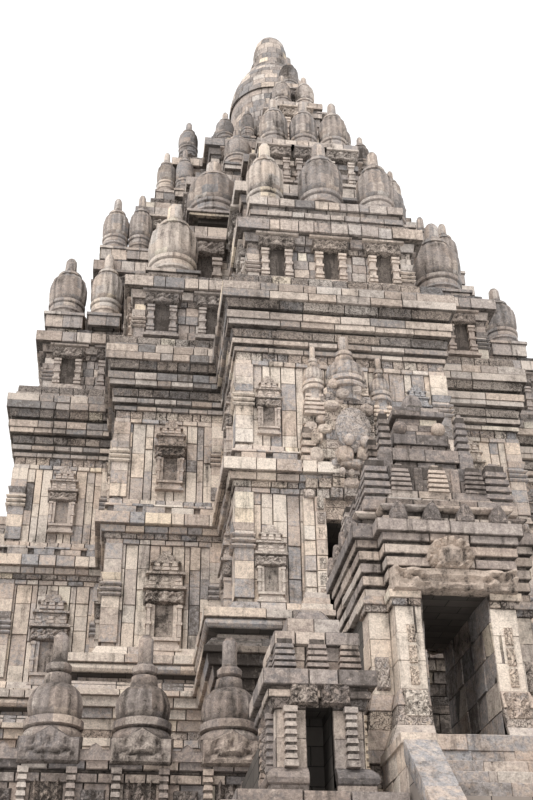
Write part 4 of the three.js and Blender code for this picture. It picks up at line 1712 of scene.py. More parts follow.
def groove(foot: float, top: float, grow: float, length: float = 0.5,
           grime_and_shade: float = GROOVE_SHADE_AND_SOIL) -> Band:
    """Makes a groove between two mouldings, darkened with painted shade and soiling."""
    return Band(foot, top, grow, grow, length=length, grime_and_shade=grime_and_shade)


def rows(foot: float, top: float, tall: float, grow: float = 0.0, length: float = 0.5,
         pale: float = 0.5, grime_and_shade: float = 0.0, lost: float = 0.0) -> list[Band]:
    """Divides a plain wall into courses.

    Args:
        foot: Foot of the wall.
        top: Top of the wall.
        tall: About how tall one course is.
        grow: How far the wall stands out of the face.
        length: Mean length of a stone.
        pale: Mean tone.
        grime_and_shade: Soiling and painted shade.
        lost: Share of the stones that have worn back.

    Returns:
        One band for each course.
    """
    levels = np.linspace(foot, top, max(1, round((top - foot) / tall)) + 1)
    return [Band(low, high, grow, grow, Cut.PLAIN, length, pale, grime_and_shade, lost)
            for low, high in zip(levels[:-1], levels[1:])]


def side_point(side: int, along: float, out: float) -> tuple[float, float]:
    """Turns a place along and out of a side into x and y."""
    return ((along, -out), (out, along), (-along, out), (-out, -along))[side]


@dataclass(frozen=True)
class Cross:
    """A cross-shaped plan with a porch on some sides."""

    arm: float
    reach: float
    porch: float = 0.0
    porches: tuple[float, float, float, float] = (0.0, 0.0, 0.0, 0.0)
    side_arm: float = 0.0
    shift: float = 0.0

    def half(self, side: int) -> float:
        """Gives half the width of the arm on a side."""
        return self.side_arm if side % 2 and self.side_arm else self.arm

    def faces(self) -> list[Face]:
        """Makes all the faces of the plan.

        Returns:
            The faces.
        """
        points = []
        for side in range(4):
            half, far = self.half(side), self.porches[side]
            local = [(-half, self.reach)]
            if far:
                local += [(-self.porch, self.reach), (-self.porch, far), (self.porch, far),
                          (self.porch, self.reach)]
            local.append((half, self.reach))
            if half < self.reach:
                local.append((half, self.half(side + 1)))
            points += [side_point(side, along, out) for along, out in local]
        kept = [p for i, p in enumerate(points) if math.dist(p, points[i - 1]) > 0.001]
        return faces_of([(x + self.shift, y) for x, y in kept])


def block_faces(along: float, out: float, half_along: float, half_out: float) -> list[Face]:
    """Makes the four faces of a block on the front side."""
    return faces_of([(along - half_along, -out - half_out), (along + half_along, -out - half_out),
                     (along + half_along, -out + half_out), (along - half_along, -out + half_out)])


@dataclass
class Part:
    """One sub-assembly: it lays stones and carvings and makes them one piece."""

    stones: Stones
    finishes: Finishes

    def lay(self, work: Masonry, faces: Sequence[Face], bands: Iterable[Band]) -> None:
        """Lays mouldings round faces.

        Args:
            work: The piece that they are added to.
            faces: The faces.
            bands: The mouldings.
        """
        shapes = {Cut.PLAIN: (self.stones.dressed, 0.0), Cut.ROLL: (self.stones.rounded, 0.09),
                  Cut.CARVED: (self.stones.scrolled, 0.0)}
        for band in bands:
            shape, relief = shapes[band.cut]
            work.course(shape, faces, (band.foot, band.top), (band.low, band.high), relief,
                        band.length, band.pale, grime_and_shade=band.grime_and_shade, lost=band.lost)

    def dentils(self, work: Masonry, faces: Sequence[Face], foot: float, top: float, grow: float,
                pitch: float, share: float = 0.5) -> None:
        """Sets a row of small blocks with dark gaps between them.

        Args:
            work: The piece that they are added to.
            faces: The faces.
            foot: Foot of the row.
            top: Top of the row.
            grow: How far the blocks stand out.
            pitch: Distance from one block to the next.
            share: Share of that distance that a block takes.
        """
        for face in faces:
            for start, end in face.spans(foot, top):
                count = max(1, round((end - start) / pitch))
                for i in range(count):
                    middle = start + (end - start) * (i + 0.5) / count
                    half = 0.5 * share * (end - start) / count
                    work.stone(self.stones.dressed, face, (middle - half, middle + half),
                               (foot, top), (grow, grow), tone=work.tone(0.5, 0.2))

    def row_of(self, work: Masonry, shape: Pattern, faces: Sequence[Face], out: float, foot: float,
               size: Sequence[float], pitch: float, pale: float = 0.5) -> None:
        """Stands copies of a pattern in a row along faces.

        Args:
            work: The piece that they are added to.
            shape: The pattern.
            faces: The faces.
            out: How far out of the faces they stand.
            foot: Level of their foot.
            size: Their scale along the face's axes.
            pitch: About how far apart they stand.
            pale: Mean tone.
        """
        for face in faces:
            room = face.length + out * (max(face.turns[0], 0) + max(face.turns[1], 0))
            count = max(1, round(room / pitch))
            start = -out * max(face.turns[0], 0)
            for i in range(count):
                x = start + room * (i + 0.5) / count
                work.on_face(shape, face, x, out, foot, size, tone=work.plain(pale, 0.1))

    def pilasters(self, work: Masonry, faces: Sequence[Face], foot: float, top: float, wide: float,
                  rings: Sequence[float], proud: float = 0.07) -> None:
        """Stands a pilaster at both ends of each face, with ring mouldings at some heights.

        Args:
            work: The piece that they are added to.
            faces: The faces.
            foot: Level of their foot.
            top: Level of their top.
            wide: Their width.
            rings: Level of each set of rings.
            proud: How far they stand out.
        """
        for face in faces:
            if face.length < 2.5 * wide:
                continue
            for start, end, turns in ((0, wide, (face.turns[0], 0)),
                                      (face.length - wide, face.length, (0, face.turns[1]))):
                for row in rows(foot, top, 0.44):
                    work.stone(self.stones.dressed, face, (start, end), (row.foot, row.top),
                               (proud, proud), turns, tone=work.tone(0.55, 0.22))
                for ring in rings:
                    shade = work.tone(0.62, 0.25)
                    for step in range(3):
                        level = ring + 0.15 * step
                        span = (start - 0.03 * (turns[0] == 0), end + 0.03 * (turns[1] == 0))
                        work.stone(self.stones.rounded, face, span, (level, level + 0.1),
                                   (proud + 0.02, proud + 0.02), turns, 0.07, shade)
                    work.stone(self.stones.dressed, face, (start, end), (ring + 0.47, ring + 0.66),
                               (proud + 0.01, proud + 0.07), turns, tone=work.tone(0.5, 0.2))

    def niches(self, work: Masonry, shape: Pattern, faces: Sequence[Face], level: float,
               scale: float, least: float, proud: float = 0.0) -> None:
        """Puts a niche in the middle of each face over a least length, or a row in a long one.

        Args:
            work: The piece that they are added to.
            shape: The niche pattern.
            faces: The faces.
            level: Level that they stand on.
            scale: Their scale.
            least: The least length.
            proud: How far they stand out.
        """
        for face in faces:
            if face.length < least:
                continue
            count = max(1, round(face.length / (1.25 * least)))
            for i in range(count):
                work.on_face(shape, face, face.length * (2 * i + 1) / (2 * count), proud, level,
                             (scale, scale, scale), tone=work.plain(0.55, 0.12))


# The terrace, its stairs and its parapets


@dataclass
class Terrace(Part):
    """The terrace with its four platforms."""

    plan: Cross = Cross(17.05, 17.05, 3.6, (21.7, 21.7, 21.7, 21.7))
    stair_half: float = 1.4
    panel_pitch: float = 1.9

    def build(self) -> None:
        """Lays the facing of the terrace and sets its panels."""
        work = Masonry("terrace_facing", 11)
        faces = self.plan.faces()
        for face in of_length(faces, 2 * self.plan.porch):
            face.cut(self.plan.porch, self.stair_half, -1.0, TERRACE_TOP + 0.1)
        self.lay(work, faces, [
            flat(0.012, 0.5, 0.6, 0.9), flat(0.5, 0.95, 0.45, 0.8),
            Band(0.95, 1.3, 0.45, 0.05, length=0.8),
            *rows(1.3, 3.9, 0.52, length=0.9), Band(3.9, 4.2, 0.05, 0.3),
            Band(4.2, 4.45, 0.3, 0.3, Cut.CARVED),
            flat(4.45, 4.8, 0.45, 0.7, 0.6), flat(4.8, TERRACE_TOP, 0.2, 0.7),
        ])
        for face in (face for face in faces if face.length > 3):
            count = round(face.length / self.panel_pitch)
            for i in range(count):
                x = face.length * (i + 0.5) / count
                if not any(left < x < right for left, right, _, _ in face.holes):
                    tone = work.tone(0.5, 0.15)
                    work.on_face(self.stones.vine, face, x, 0.05, 1.75, (1.1, 1, 1.6), tone=tone)
        work.build(self.finishes.rail, "dark_andesite")


@dataclass
class Parapets(Part):
    """The four corner runs of parapet with their ratnas."""

    out: float = 17.0
    thick: float = 0.9
    end: float = 2.2
    top: float = 6.5
    first: float = 3.4
    spacing: float = 1.62
    count: int = 8

    def places(self) -> list[float]:
        """Lists where ratnas stand along one run."""
        return [self.first + i * self.spacing for i in range(self.count)]

    def build(self) -> None:
        """Lays the walls and stands the ratnas on them."""
        wall = Masonry("parapet_walls", 12)
        rail = Masonry("parapet_ratnas", 13)
        carving = Masonry("parapet_carvings", 14)
        out, end, inner = self.out, self.end, self.out - self.thick
        for side in range(4):
            wall.side = rail.side = carving.side = side
            outside = faces_of([(-out, -end), (-out, -out), (-end, -out)], closed=False)
            inside = faces_of([(-end, -inner), (-inner, -inner), (-inner, -end)], closed=False)
            self.lay(wall, outside, self.courses(0.4, 0.42))
            self.lay(wall, inside, self.courses(0.79, 0.8))
            for face in outside:
                for place in self.places():
                    self.bay(carving, face, place - end if face.right[1] < -0.5 else out - place)
            self.ratnas(rail, wall)
        wall.build(self.finishes.rail, "dark_andesite")
        carving.build(self.finishes.rail, "dark_andesite")
        rail.build(self.finishes.rail, "dark_andesite", smooth=40)

    @staticmethod
    def courses(tall: float, length: float) -> list[Band]:
        """Gives the mouldings of one side of the wall, with the size of its plain stones.

        Args:
            tall: About how tall a plain course is.
            length: Mean length of a plain stone.

        Returns:
            The mouldings, from the foot up.
        """
        return [
            flat(FACING_FOOT, 5.22, 0.1, 0.7), Band(5.22, 5.36, 0.1, 0.02),
            *rows(5.36, 6.15, tall, length=length, pale=0.42),
            Band(6.15, 6.3, 0.06, 0.1, length=0.45),
            groove(6.3, 6.36, 0.05, 0.6), flat(6.36, 6.52, 0.15, 0.55),
        ]

    def ratnas(self, rail: Masonry, wall: Masonry) -> None:
        """Stands a ratna on its slab at the corner and at each place of both runs.

        Args:
            rail: The piece of the ratnas.
            wall: The piece of the walls, which the slabs are added to.
        """
        middle = self.out - self.thick / 2
        spots = [(-middle, -middle), *((-p, -middle) for p in self.places()),
                 *((-middle, -p) for p in self.places())]
        for x, y in spots:
            tone, angle = rail.plain(0.38, 0.1), float(rail.random.uniform(0, 6))
            rail.at(self.stones.rail_ratna, (x, y, self.top), (0.98, 0.98, 1.0), angle, tone)
            for face in block_faces(x, -y, 0.5, 0.5):
                wall.stone(self.stones.dressed, face, (0, 1.0), (self.top, self.top + 0.12),
                           (0.02, 0.02), (1, 1), tone=wall.tone(0.45, 0.15))

    def bay(self, work: Masonry, face: Face, x: float) -> None:
        """Carves one bay: a niche with figures under a kala, a panel and a coping stone.

        Args:
            work: The piece that it is added to.
            face: The face that carries it.
            x: Middle of the bay along the face.
        """
        shapes = self.stones
        # The figure panel is darkened a little as painted shade of its niche
        work.on_face(shapes.figures, face, x, 0.01, 5.36, (0.66, 1, 0.96), work.plain(0.5, 0.1),
                     0.1)
        for shift in (-0.42, 0.42):
            work.on_face(shapes.colonette, face, x + shift, 0.08, 5.34, (0.19, 0.19, 1.05),
                         work.plain(0.62))
        work.on_face(shapes.small_kala, face, x, 0.24, 6.42, (1.14, 0.8, 0.5),
                     work.plain(0.66, 0.12), -0.12)
        middle = x + self.spacing / 2
        if middle < face.length - 0.3:
            work.on_face(shapes.vine, face, middle, 0.04, 5.42, (0.5, 0.8, 0.66),
                         work.tone(0.45, 0.1))
            work.on_face(shapes.merlon, face, middle, 0.16, self.top, (0.56, 0.5, 0.3),
                         work.tone(0.45, 0.15))


@dataclass
class Stairs(Part):
    """Steps and wing walls of the outer and inner stairs."""

    tread: float = 0.28
    half: float = 0.95
    landing: float = 21.7
    sill: float = 20.4
    inner_foot: float = 16.4
    inner_head: float = 12.75
    lean: float = 0.1
    wing_foot: float = 27.3
    wing_base: float = 1.0
    wing_rise: float = 4.75

    def build(self) -> None:
        """Lays every step as a row of stones."""
        work = Masonry("stair_stones", 15)
        for side in range(4):
            work.side = side
            self.flight(work, self.landing + 20 * self.tread, 0.0, TERRACE_TOP / 21, 20, self.tread)
            self.flight(work, self.sill + 4 * self.tread, TERRACE_TOP, 1.1 / 5, 5, self.tread)
            threshold = front_face(-self.half, 20.7, 2 * self.half)
            for span in ((0, 0.8), (0.8, 2 * self.half)):
                work.stone(self.stones.tread, threshold, span, (5.88, 6.12), (0.02, 0.02),
                           tone=work.plain(0.4, 0.1), deep=0.4)
            # The inner flight gets dark tones and deep painted shade, as it lies in the gate's
            # shade
            self.flight(work, self.inner_foot, TERRACE_TOP, 5.9 / 18, 17,
                        (self.inner_foot - self.inner_head) / 17, 0.25)
            for way in (-1, 1):
                self.wing(work, way)
                self.lay(work, block_faces(way * 1.16, 21.0, 0.21, 0.7),
                         rows(TERRACE_TOP, 5.74, 0.37, 0.03, 0.5, 0.6))
                for out in (20.65, 21.35):
                    work.at(self.stones.slab, (way * 1.16, -out, 5.7), (0.54, 0.38, 0.16),
                            tone=work.plain(0.7))
        work.build(self.finishes.wall, "pale_andesite")

    def flight(self, work: Masonry, foot: float, low: float, rise: float, count: int, tread: float,
               pale: float = 0.42) -> None:
        """Lays one flight from its lowest step up. A dark flight is soiled as well.

        Args:
            work: The piece that it is added to.
            foot: Place of its lowest riser out of the middle.
            low: Level that it starts from.
            rise: Height of a step.
            count: Number of steps.
            tread: Depth of a step.
            pale: Mean tone.
        """
        grime_and_shade = 0.0 if pale > 0.3 else PAINTED_DEEP_SHADE
        for i in range(count):
            top = low + (i + 1) * rise
            face = front_face(-self.half, foot - i * tread, 2 * self.half)
            joints = np.sort(work.random.uniform(0.25, 2 * self.half - 0.25, 2))
            for a, b in zip((0, *joints), (*joints, 2 * self.half)):
                if b - a > 0.05:
                    work.stone(self.stones.tread, face, (a, b), (max(top - rise, 0.02), top),
                               (0.02, 0.02), tone=work.plain(pale, 0.12), grime_and_shade=grime_and_shade,
                               edge=0.012, deep=tread + self.lean)

    def wing_top(self, out: float) -> float:
        """Gives the height of a wing wall at a place out of the middle.

        Args:
            out: The place.

        Returns:
            The height.
        """
        end = self.wing_foot - 0.5
        share = self.wing_rise * (end - out) / (end - self.landing)
        return max(self.wing_base + share, self.wing_base)

    def wing(self, work: Masonry, way: int) -> None:
        """Lays the sloping wing wall on one side of the outer stair.

        Args:
            work: The piece that it is added to.
            way: 1 for the right side and -1 for the left.
        """
        left, right = sorted((way * 0.95, way * 1.37))
        foot, head, count = self.wing_foot, self.landing, 12
        for i in range(count):
            far, near = (foot - (foot - head) * step / count for step in (i, i + 1))
            low, high = (self.wing_top(place) for place in (far, near))
            stone = self.stones.tread.moved((right - left + 0.06, 1, 1), (left - 0.03, 0, 0))
            points = stone.points.copy()
            share = -points[:, 1]
            top = low + (high - low) * share
            points[:, 2] = np.where(points[:, 2] > 0.5, top + 0.03 - (1 - points[:, 2]) * 0.2,
                                    top - 0.3)
            points[:, 1] = -far + share * (far - near)
            work.put(points, stone, work.plain(0.33, 0.08))


# The gates and the small shrines


@dataclass
class Gates(Part):
    """The four gates."""

    out: float = 20.4
    back: float = 17.6
    half: float = 1.05
    wide_half: float = 1.42
    inset: float = 0.35
    door_half: float = 0.58

    def build(self) -> None:
        """Lays the walls, the cornice and the upper storey of each gate."""
        walls = Masonry("gate_walls_facing", 21)
        roofs = Masonry("gate_roof_facing", 22)
        for side in range(4):
            walls.side = roofs.side = side
            self.walls(walls)
            self.roof(roofs)
        walls.build(self.finishes.wall, "pale_andesite")
        roofs.build(self.finishes.rail, "dark_andesite")

    def outline(self) -> list[tuple[float, float]]:
        """Gives the plan of the gate, counter-clockwise.

        Returns:
            Its corners.
        """
        front, rear, inset = -self.out, -self.back, self.inset
        half, wide = self.half, self.wide_half
        return [(-half, front), (half, front), (half, front + inset), (wide, front + inset),
                (wide, rear - inset), (half, rear - inset), (half, rear), (-half, rear),
                (-half, rear - inset), (-wide, rear - inset), (-wide, front + inset),
                (-half, front + inset)]

    def walls(self, work: Masonry) -> None:
        """Lays the jambs, their carved strips and the stones of the passage.

        Args:
            work: The piece that it is added to.
        """
        faces = faces_of(self.outline())
        for face in of_length(faces, 2 * self.half):
            face.cut(self.half, self.door_half, 4.9, 8.6)
        self.lay(work, faces, [
            flat(FACING_FOOT, 5.4, 0.2), Band(5.4, 5.75, 0.2, 0.2, Cut.CARVED),
            flat(5.75, 5.95, 0.3), Band(5.95, 6.3, 0.3, 0.14),
            Band(6.3, 6.62, 0.14, 0.07, Cut.CARVED, 0.5), Band(6.62, 6.9, 0.1, 0.02),
            *rows(6.9, 8.3, 0.47, length=0.55, pale=0.82),
            Band(8.3, 8.42, 0.04, 0.04, Cut.CARVED, 0.3, 0.6),
            Band(8.42, 8.55, 0.08, 0.1, length=0.4),
        ])
        for way in (-1, 1):
            self.jamb(work, way)

    def jamb(self, work: Masonry, way: int) -> None:
        """Lays one reveal of the passage and carves the wall beside it.

        Args:
            work: The piece that it is added to.
            way: 1 for the right side and -1 for the left.
        """
        start, right = (-self.back, -1.0) if way > 0 else (-self.out, 1.0)
        reveal = Face(np.array((way * self.door_half, start)), np.array((0, right)),
                      np.array((-way, 0.0)), self.out - self.back, (0, 0))
        # The reveal's stones get dark tones and painted shade, for the shade inside the passage
        self.lay(work, [reveal], rows(6.1, 8.55, 0.48, 0.012, 0.6, 0.35, 0.62))
        vine = self.stones.vine
        front = front_face(way * 0.82 - 0.24, self.out, 0.48)
        for row in rows(6.95, 8.0, 0.35):
            work.on_face(vine, front, 0.27, 0.015, row.foot, (0.16, 0.4, 0.35), 0.7, -0.35)
        for level, tall in ((6.0, 0.4), (6.4, 0.5)):
            work.on_face(vine, front, 0.24, 0.1, level, (0.46, 0.9, tall), work.plain(0.6, 0.1),
                         -0.25)
        wing = front_face(way * 1.23 - 0.18, self.out - self.inset, 0.36)
        work.on_face(vine, wing, 0.18, 0.05, 6.95, (0.26, 0.5, 0.6), work.tone(0.6, 0.1), -0.3)

    def roof(self, work: Masonry) -> None:
        """Lays the cornice and everything that stands on it.

        Args:
            work: The piece that it is added to.
        """
        faces = faces_of(self.outline())
        self.lay(work, faces, [
            flat(8.55, 8.7, 0.03, 0.7, 0.8), groove(8.7, 8.76, -0.02),
            flat(8.76, 8.92, 0.06, 0.8, 0.78), groove(8.92, 8.98, 0.01),
            flat(8.98, 9.14, 0.09, 0.8, 0.76), groove(9.14, 9.2, 0.04),
            flat(9.2, 9.36, 0.12, 0.8, 0.72), groove(9.36, 9.42, 0.06),
            flat(9.42, 9.56, 0.15, 0.8, 0.66), flat(9.56, 9.78, 0.24, 0.9, 0.4),
            flat(9.78, 9.9, 0.1, 0.5, 0.6), groove(9.9, 10.02, 0.0),
            Band(10.02, 10.15, 0.05, 0.05, Cut.ROLL, 1.0, 0.7),
            Band(10.15, 10.3, 0.0, -0.02, length=0.45, grime_and_shade=0.3),
        ])
        for face in faces:
            if face.length > 0.6:
                self.row_of(work, self.stones.antefix, [face], 0.13, 9.76, (0.3, 0.4, 0.38), 0.56,
                            0.35)
        for way, y in ((1, -self.out), (-1, -self.back)):
            face = Face(np.array((-1.1 * way, y)), np.array((1.0 * way, 0)),
                        np.array((0, -1.0 * way)), 2.2, (0, 0))
            work.on_face(self.stones.lintel, face, 1.1, 0.17, 8.5, tone=0.87, grime_and_shade=-0.2)
        middle = (self.out + self.back) / 2
        self.storeys(work, middle)
        self.turrets(work, middle)

    def storeys(self, work: Masonry, middle: float) -> None:
        """Lays the storeys that narrow towards the top, round a middle out of the tower's own.

        Args:
            work: The piece that it is added to.
            middle: Middle of the gate, out of the tower's own.
        """
        self.lay(work, block_faces(0, middle, 0.9, 1.15), [
            flat(10.3, 10.42, 0.06, pale=0.72), flat(10.42, 10.57, 0.03, pale=0.8),
            *rows(10.57, 11.1, 0.26, -0.03, 0.4, 0.3, 0.4),
        ])
        for half, deep, foot, slab, top, lip in (
                (0.62, 0.6, 11.1, 11.5, 11.76, 0.03), (0.53, 0.38, 11.76, 12.0, 12.22, 0.02)):
            self.lay(work, block_faces(0, middle, half, deep), [
                *rows(foot, slab, 0.2, -0.03, 0.4, 0.35), flat(slab, top, lip, 0.62, 0.36)])
        self.lay(work, block_faces(0, middle, 0.41, 0.28), [
            *rows(12.22, 12.64, 0.14, 0.0, 0.4, 0.4), flat(12.64, 12.76, 0.12, 0.4, 0.3),
            flat(12.76, 12.88, 0.05, 0.4, 0.45)])

    def turrets(self, work: Masonry, middle: float) -> None:
        """Stands the turrets, slabs, orbs and the bulb on the storeys.

        Args:
            work: The piece that it is added to.
            middle: Middle of the gate, out of the tower's own.
        """
        def stand(shape: Pattern, x: float, y: float, foot: float, size: Sequence[float],
                  tone: float) -> None:
            """Stands one stone at a place from the middle of the gate."""
            work.at(shape, (x, -middle + y, foot), size, tone=tone)

        turret, slab, orb = self.stones.turret, self.stones.slab, self.stones.orb
        for way in (-1, 1):
            for x in (-0.68, 0.0, 0.68):
                stand(turret, x, -way * 1.03, 10.56, (0.38, 0.38, 0.6),
                      work.plain(0.75 if x == 0 else 0.45, 0.12))
            for x in (-0.34, 0.34):
                stand(slab, x, -way * 1.04, 10.56, (0.15, 0.12, 0.5), work.plain(0.3, 0.1))
            for x in (-1.12, 1.12):
                stand(slab, x, -way * 0.95, 10.14, (0.56, 0.28, 0.2), work.plain(0.5, 0.1))
                stand(turret, x, -way * 0.95, 10.32, (0.5, 0.5, 0.97), work.plain(0.4, 0.1))
            for y in (-0.3, 0.3):
                stand(turret, way * 1.12, y, 10.28, (0.44, 0.44, 0.85), work.plain(0.3, 0.1))
            for y in (-0.5, 0.5):
                stand(slab, way * 0.78, y, 11.08, (0.26, 0.13, 0.6), work.plain(0.3, 0.1))
                stand(turret, way * 0.76, y, 11.68, (0.24, 0.24, 0.95), work.plain(0.3, 0.1))
                stand(orb, way * 0.38, 0.7 * y, 12.37, (0.28, 0.28, 0.28), work.plain(0.5, 0.15))
        stand(self.stones.bulb, 0, 0, 12.86, (0.4, 0.4, 0.5), 0.4)


@dataclass
class Shrines(Part):
    """The eight small shrines beside the gates."""

    along: float = 2.5
    centre: float = 20.475
    half: float = 0.72
    half_out: float = 0.775

    def build(self) -> None:
        """Lays both shrines of each side."""
        work = Masonry("shrine_facing", 23)
        for side in range(4):
            work.side = side
            for way in (-1, 1):
                self.shrine(work, way * self.along)
        work.build(self.finishes.rail, "dark_andesite")

    def shrine(self, work: Masonry, x: float) -> None:
        """Lays one shrine and stands its posts, panels and turrets.

        Args:
            work: The piece that it is added to.
            x: Middle of the shrine along its side.
        """
        faces = block_faces(x, self.centre, self.half, self.half_out)
        faces[0].cut(self.half, 0.2, 5.1, 6.42)
        self.lay(work, faces, [
            flat(FACING_FOOT, 5.2, 0.06), Band(5.2, 5.45, 0.06, -0.04, Cut.ROLL, 0.5),
            *rows(5.45, 6.3, 0.42, -0.06, 0.4, 0.7), Band(6.3, 6.45, -0.02, 0.02, Cut.CARVED, 0.4),
            flat(6.45, 6.56, 0.06), groove(6.56, 6.62, 0.02, 0.6),
            flat(6.62, 6.85, 0.14, 0.45, 0.55),
            *rows(6.85, 7.3, 0.22, -0.17, 0.3), flat(7.3, 7.5, -0.06, 0.5),
        ])
        self.lay(work, block_faces(x, self.centre, 0.42, 0.47), [
            *rows(7.5, 7.8, 0.3, length=0.4), Band(7.8, 8.0, -0.1, -0.22)])
        post, turret, size = self.stones.colonette, self.stones.turret, (0.34, 0.34, 0.6)
        for shift in (-0.45, 0.45):
            tone = work.tone(0.65, 0.12)
            work.on_face(post, faces[0], self.half + shift, 0.0, 5.45, (0.2, 0.2, 0.86), tone)
        for shift in (-0.24, 0.24):
            tone = work.plain(0.42, 0.1)
            work.on_face(self.stones.vine, faces[0], self.half + shift, 0.1, 6.32,
                         (0.47, 0.8, 0.36), tone)
        for face in faces[1:]:
            middle = face.length / 2
            work.on_face(self.stones.figures, face, middle, -0.03, 5.5, (0.5, 1, 0.75), 0.5)
            for shift in (-0.4, 0.4):
                tone = work.tone(0.65, 0.12)
                work.on_face(post, face, middle + shift, -0.02, 5.45, (0.14, 0.14, 0.86), tone)
        for dx in (-0.5, 0.0, 0.5):
            for dy in (-0.6, 0.6):
                work.at(turret, (x + dx, -self.centre + dy, 6.84), size, tone=work.plain(0.4))
        for way in (-1, 1):
            work.at(turret, (x + way * 0.52, -self.centre, 6.84), size, tone=work.plain(0.4))


# The temple

TOWER = Cross(TOWER_ARM, TOWER_REACH, PORCH_HALF, (PORCH_OUT,) * 4)
UPPER_TOWER = replace(TOWER, porches=(PORCH_OUT, 0.0, 0.0, 0.0))


@dataclass
class Foot(Part):
    """The moulded foot that carries the tower."""

    def build(self) -> None:
        """Lays the mouldings of the foot."""
        work = Masonry("foot_facing", 31)
        faces = TOWER.faces()
        for face in of_length(faces, 2 * PORCH_HALF):
            face.cut(PORCH_HALF, 0.98, 4.9, 11.0)
        bands = [
            flat(FACING_FOOT, 5.5, 1.15, 1.1),
            flat(5.5, 5.7, 0.95, 0.7), Band(5.7, 5.9, 0.95, 0.95, Cut.CARVED, 0.6),
            Band(5.9, 6.15, 0.9, 0.68, length=0.6), Band(6.15, 6.4, 0.66, 0.44, length=0.6),
            Band(6.4, 6.75, 0.5, 0.5, Cut.ROLL, 0.95), flat(6.75, 7.0, 0.38),
            *rows(7.0, 8.7, 0.42, 0.38, 0.42, 0.55), flat(8.7, 8.9, 0.42, 0.5),
            Band(8.9, 9.1, 0.38, 0.4, Cut.CARVED, 0.45), Band(9.1, 9.35, 0.42, 0.5, length=0.5),
            Band(9.35, 9.6, 0.56, 0.6, length=0.55),
            Band(9.6, 9.85, 0.7, 0.74, length=0.6, pale=0.6),
            flat(9.85, 10.0, 0.84, pale=0.65), Band(10.0, 10.25, 0.8, 0.62, length=0.55),
            Band(10.25, 10.45, 0.5, 0.5, length=0.55, grime_and_shade=0.35),
            Band(10.45, 10.68, 0.72, 0.72, Cut.ROLL, 0.95, 0.6),
            flat(10.68, 10.9, 0.85, 0.7, 0.6),
        ]
        self.lay(work, [face for face in faces if not face.holes], bands)
        # Below 10.3 the porch fronts get deep painted shade, for the gallery that the gate shades
        shaded = [replace(band, grime_and_shade=PAINTED_DEEP_SHADE) if band.top < 10.3 else band for band in bands]
        self.lay(work, [face for face in faces if face.holes], shaded)
        work.build(self.finishes.wall, "pale_andesite")


@dataclass
class Body(Part):
    """The walls of the tower."""

    def build(self) -> None:
        """Lays the walls and mouldings, and sets the pilasters and niches on them."""
        walls = Masonry("wall_facing", 32)
        faces, high = TOWER.faces(), UPPER_TOWER.faces()
        for face in of_length(faces, 2 * PORCH_HALF):
            face.cut(PORCH_HALF, 0.95, 10.8, 14.4)
        self.lay(walls, faces, [
            flat(10.9, 11.1, 0.3, 0.7, 0.6), Band(11.1, 11.35, 0.24, 0.1),
            Band(14.3, 14.44, 0.05, 0.06, length=0.4),
            Band(14.44, 14.6, 0.1, 0.12, Cut.CARVED, 0.4),
            Band(14.6, 14.78, 0.2, 0.24, length=0.5), flat(14.78, 15.12, 0.4, 0.5, 0.6),
            flat(15.12, 15.22, 0.17), groove(15.22, 15.42, 0.08, 0.6),
            Band(15.42, 15.5, 0.17, 0.15),
        ])
        walls.uprights(self.stones.dressed, faces, 11.35, 14.3)
        self.dentils(walls, faces, 15.22, 15.42, 0.16, 0.8, 0.8)
        walls.uprights(self.stones.dressed, high, 15.68, 18.2)
        self.lay(walls, high, [
            Band(15.5, 15.68, 0.09, 0.05, length=0.4), flat(18.2, 18.34, 0.05, 0.4),
            Band(18.34, 18.6, 0.03, 0.03, Cut.CARVED, 0.36),
        ])
        walls.build(self.finishes.wall, "pale_andesite")
        self.carvings(faces, high)

    def carvings(self, faces: Sequence[Face], high: Sequence[Face]) -> None:
        """Sets pilasters and niches on the lower and the upper faces.

        Args:
            faces: The lower faces.
            high: The upper faces.
        """
        trim, niche = Masonry("wall_carvings", 33), self.stones.niche
        self.pilasters(trim, faces, 11.47, 14.3, 0.42, (12.75,))
        self.pilasters(trim, high, 15.75, 18.2, 0.42, (16.85,))
        for group, level, scale in ((faces, 11.62, 0.98), (high, 16.3, 0.8)):
            self.niches(trim, niche, [f for f in group if 3 < f.length < 5], level, scale, 2.5,
                        0.02)
        for group, level, scale in ((faces, 11.62, 0.7), (high, 16.25, 0.62)):
            for face in of_length(group, 2 * PORCH_HALF):
                for x in (0.83, face.length - 0.83):
                    trim.on_face(niche, face, x, 0.02, level, (scale, scale, scale),
                                 trim.tone(0.6, 0.1))
        for face in (face for face in high if face.length > 12):
            for x in (1.6, 3.7, face.length - 3.7, face.length - 1.6):
                trim.on_face(niche, face, x, 0.02, 16.3, (0.8, 0.8, 0.8), trim.tone(0.55, 0.1))
        trim.build(self.finishes.wall, "pale_andesite")


